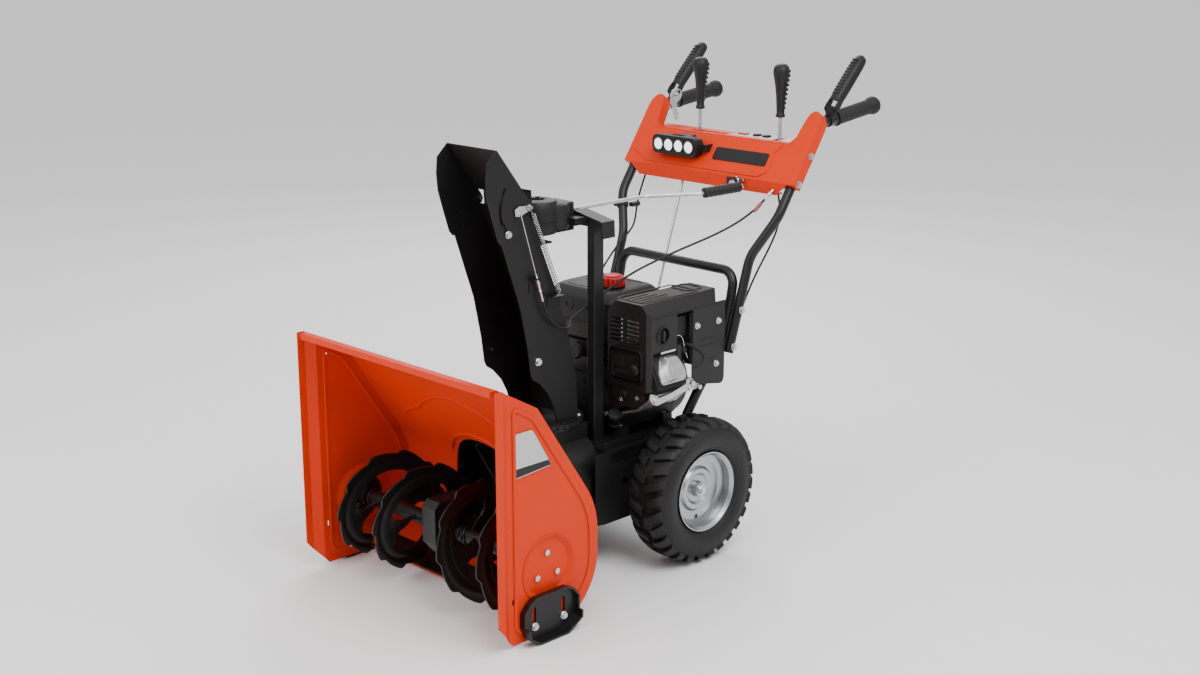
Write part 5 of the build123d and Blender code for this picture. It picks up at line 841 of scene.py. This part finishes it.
# tank: bevelled shell with its seam, neck, dimple, top ribs and brackets
TANK_LEVELS = ((470, 10), (478, 1), (510, 0), (511, -3), (514, -3), (515, 0), (566, 0), (570, 3), (584, 17), (588, 24))
FILLER_X, FILLER_Y = 0, -18
verts = []
for z, inset in TANK_LEVELS:
    ring = rounded(-150 + inset, 66 - inset, -88 + inset, 92 - inset, max(28 - inset * 0.3, 10), 6)
    verts += [mm(x, y, z) for x, y in ring]
rows = len(TANK_LEVELS)
n = len(verts) // rows
faces = tube_faces(rows, n) + [tuple(range(n - 1, -1, -1)), tuple(range((rows - 1) * n, rows * n))]
tank_parts = [(verts, faces),
              lathe([(0, 8), (19, 8), (19, 0), (21, 0), (21, -4)], mm(FILLER_X, FILLER_Y, 588), (0, 0, 1), 32),
              lathe([(7, 0.4), (9, 1.6), (12, 1.6), (14, -1)], mm(-69, -88, 548), (0, -1, 0), 28),
              prism(rounded(-104, 20, -60, -56, 1.5, 3), (588, 589.2), on_z),
              prism(rounded(-104, 20, 56, 60, 1.5, 3), (588, 589.2), on_z)]
for x in (-68, 12):
    tank_parts.append(prism(rounded(x, x + 26, -20, 20, 4), (436, 474), on_z))
tank = piece("tank", *merge(tank_parts), PLASTIC, "chassis", "black_plastic", bevel=0.0014, angle=40)
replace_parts(tank, "fuel_tank")
fill = [prism(rounded(-112, 60, -66, 76, 18), (424, 458), on_z), prism(rounded(-92, 40, -84, 64, 12), (440, 469), on_z),
        lathe([(0, 30), (16, 30), (20, 26), (20, 0)], mm(-40, -70, 446), (0, -1, 0), 24),
        lathe([(0, 26), (9, 26), (12, 22), (12, 0)], mm(14, -72, 444), (0, -1, 0), 20),
        lathe([(0, 34), (12, 34), (14, 30), (14, 0)], mm(-84, -40, 448), (-1, 0, 0), 20)]
for k in range(6):
    fill.append(prism(rounded(-104 + 26 * k, -94 + 26 * k, -78, 70, 3), (420, 462), on_z))
piece("under_tank_parts", *merge(fill), DARK_CAST, "chassis", "engine_metal", bevel=0.0014)
SIDES = ((-1, "right"), (1, "left"))
# black sheets inside the frame behind its slots: painted shade, so the slots look dark instead of showing the backdrop
# through them
for side, tag in SIDES:
    shade_sheet = prism(soft([(-186, 160), (-60, 160), (-60, 290), (-186, 290)], 10), (side * 140, side * 143), on_x)
    piece("frame_shade_sheet_" + tag, *shade_sheet, BLACK_PAINT, "chassis", "black_paint")
lid = [prism(rounded(-96, 122, 560, 562.4, 1, 3), (199.4, 200.9), on_x),
       prism(rounded(88, 190, 560, 562.4, 1, 3), (-109.2, -107), on_y)]
piece("hood_lid_line", *merge(lid), PLASTIC, "chassis", "black_plastic", bevel=0.0004)


CONSOLE_SLOPE = radians(55.7)
CONSOLE_Y, CONSOLE_Z = 290, 812      # foot of the slanted face


def on_console(u, v, w):
    """Slanted console face: u across, v up the slope, w standing out of it."""
    c, t = cos(CONSOLE_SLOPE), sin(CONSOLE_SLOPE)
    return mm(u, CONSOLE_Y + v * c - w * t, CONSOLE_Z + v * t + w * c)


badge = prism(rounded(5.4, 164.6, 34.9, 67.1, 4.4), (1.9, 3.9), on_console)
piece("badge_field", *badge, BADGE, "chassis", "orange_paint", bevel=0.0003)
# gear head of the chute, the rubber flap over the deflector's hinge and the eye of the crank
HEAD_FOOT = mm(-3, -243, 741)
head_parts = [lathe([(0, 76), (30, 76), (39, 73), (44, 66), (45, 44), (44, 12), (40, 3), (30, 0), (0, 0)],
                    HEAD_FOOT, (0, 0, 1)),
              lathe([(45, 30), (47, 30), (47, 26), (45, 26)], HEAD_FOOT, (0, 0, 1)),
              lathe([(0, 68), (18, 68), (25, 64), (28, 54), (28, 18), (24, 10), (0, 8)], mm(22, -212, 741), (0, 0, 1),
                    36)]
hex_head(mm(-3, -243, 817), (0, 0, 1), 6, head_parts)
flap_rear = [(-307.9, 740.9), (-328.3, 785.5)] + [(-328.5 - 0.25 * k, 800 + 4 * k) for k in range(15)]
flap_front = [(y - 2, z - 0.5) for y, z in reversed(flap_rear)]
flap = piece("chute_flap", *prism(flap_rear + flap_front, (-74.4, 74.4), on_x), RUBBER, "chute", "black_paint")
flap = as_mesh(flap, "chute_flap")
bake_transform(flap)
ring_parts = [lathe([(6.2, -3), (10, -3.4), (11.4, 0), (10, 3.4), (6.2, 3), (6.2, -3)], EYE, crank_axis, 32),
              prism(rounded(104, 124, 282, 290, 2), (806, 812), on_z)]
piece("crank_eye_ring", *merge(ring_parts), ZINC, "chassis", "zinc", bevel=0.0005)
piece("head_cover", *merge(head_parts), PLASTIC, "chassis", "black_plastic", bevel=0.001)
# collar of the filler neck; cap's top disc and gripping ribs
collar = lathe([(27.2, 0), (29, 1), (29, 4), (27, 5)], mm(FILLER_X, FILLER_Y, 589.5), (0, 0, 1), 40)
piece("filler_collar", *collar, PLASTIC, "chassis", "black_plastic", angle=40)
CAP_RIBS, CAP_R = 16, 25.6
cap_bits = [lathe([(0, 0.2), (20, 0.2), (20, 2.4), (18, 3.4), (0, 3.4)], mm(FILLER_X, FILLER_Y, 612.8), (0, 0, 1), 40)]
for k in range(CAP_RIBS):
    a = radians(22.5 * k + 11.25)
    cap_bits.append(lathe([(0, 0), (3.4, 0), (3.4, 17), (2.2, 19), (0, 19)],
                          mm(FILLER_X + CAP_R * cos(a), FILLER_Y + CAP_R * sin(a), 591), (0, 0, 1), 14))
piece("cap_ribs", *merge(cap_bits), RED, "cap", "red_plastic", bevel=0.0007)

# ---------------------------------------------------------------- housing dress
label = [(-597, 444), (-550, 444), (-500, 360), (-597, 353)]
bar = [(-596.5, 373), (-508.5, 373), (-501.5, 361.5), (-596.5, 355)]
piece("side_label", *prism(soft(label, 7), (307.1, 307.6), on_x), LABEL, "chassis", "orange_paint", bevel=0.0002)
piece("side_label_bar", *prism(bar, (307.5, 307.9), on_x), BADGE, "chassis", "orange_paint")
DRUM_R = 136.0                       # inner radius of the curved wall behind the auger
ROOF_Y, ROOF_Z, ROOF_SLOPE = -534, 483, radians(56)   # front edge and slope of the roof
SHEET = 2
INLET_R, INLET_Z = 150, 182


def wall_y(z):
    """Inner face of the housing's rear wall, at height z."""
    if z < AUGER_Z:
        return AUGER_Y + sqrt(max(DRUM_R ** 2 - (AUGER_Z - z) ** 2, 0))
    s, c = sin(ROOF_SLOPE), cos(ROOF_SLOPE)
    return min(AUGER_Y + DRUM_R, ROOF_Y - SHEET * s - (z - (ROOF_Z - SHEET * c)) / (s / c))


bead = []
for k in range(61):
    a = radians(-14 + 208 * k / 60)
    x, z = INLET_R * cos(a), INLET_Z + INLET_R * sin(a)
    bead.append(mm(x, wall_y(z) - 0.4, z))
wire("inlet_bead", bead, 3.6, ORANGE, "chassis", "orange_paint")
half_arch = [(226, 338), (206, 352), (180, 361), (158, 368), (130, 386), (98, 404), (60, 420), (20, 430)]
arch = [(x, z) for x, z in half_arch] + [(-x, z) for x, z in reversed(half_arch)]
wire("arch_bead", [mm(x, wall_y(z) + 0.6, z) for x, z in arch], 4.0, ORANGE, "chassis", "orange_paint")
panel = [(-597, 496), (-549, 468), (-420, 277), (-405, 250), (-394, 216), (-391, 184)]
panel += [(AUGER_Y + 117 * cos(radians(a)), AUGER_Z + 117 * sin(radians(a))) for a in range(0, -91, -9)]
panel += [(-584, 28), (-597, 43)]
panel = soft(panel, 14)
SIDE_OUT, SIDE_IN = 307.0, 303.1     # faces of the side plates
for side, tag in SIDES:
    outer, inner = ridge(panel, side * SIDE_OUT, side, 9, 1.5), ridge(panel, side * SIDE_IN, -side, 10, 1.8)
    piece("panel_ridge_" + tag, *outer, ORANGE, "chassis", "orange_paint", angle=50)
    piece("panel_ridge_inner_" + tag, *inner, ORANGE, "chassis", "orange_paint", angle=50)

# ---------------------------------------------------------------- stage, light and camera
floor = bpy.data.meshes.new("floor")
floor.from_pydata([(-30, -30, 0), (30, -30, 0), (30, 30, 0), (-30, 30, 0)], [], [(0, 1, 2, 3)])
floor_obj = linked("floor", floor)
floor_obj.location.z = -0.0005
floor.materials.append(material("floor_white", (0.88, 0.88, 0.88), 0.6, vary=0.004, edge=0, specular=0.2))

world = bpy.data.worlds.new("studio")
bpy.context.scene.world = world
world.use_nodes = True
nodes, links = world.node_tree.nodes, world.node_tree.links
sky = nodes.new("ShaderNodeTexCoord")
split = nodes.new("ShaderNodeSeparateXYZ")
ramp = nodes.new("ShaderNodeValToRGB")
links.new(sky.outputs["Generated"], split.inputs[0])
links.new(split.outputs["Z"], ramp.inputs[0])
links.new(ramp.outputs["Color"], nodes["Background"].inputs["Color"])
dark, bright = ramp.color_ramp.elements
dark.position, dark.color = 0.02, (0.18, 0.18, 0.18, 1)
bright.position, bright.color = 0.62, (1, 1, 1, 1)
nodes["Background"].inputs["Strength"].default_value = 1.15


def soft_light(name, place, target, size, power):
    """Rectangular area light in metres and watts, aimed at target."""
    data = bpy.data.lights.new(name, "AREA")
    data.shape = "RECTANGLE"
    data.size, data.size_y = size
    data.energy = power
    obj = linked(name, data)
    obj.location = place
    obj.rotation_euler = (Vector(target) - Vector(place)).to_track_quat("-Z", "Y").to_euler()


soft_light("key", (2.2, -0.6, 3.4), (0.1, 0.0, 0.5), (2.2, 2.2), 110)
soft_light("front", (-0.6, -3.4, 2.4), (0.0, -0.3, 0.4), (2.6, 1.6), 60)
soft_light("rim", (-2.2, 2.2, 2.8), (0.0, 0.2, 0.7), (2.0, 2.0), 60)

camera = bpy.data.cameras.new("camera")
camera.lens = 50
camera.sensor_width = 36
camera_obj = linked("camera", camera)
camera_obj.location = (2.5657, -2.6052, 1.4491)
camera_obj.rotation_euler = (radians(75), 0, radians(45))
bpy.context.scene.camera = camera_obj
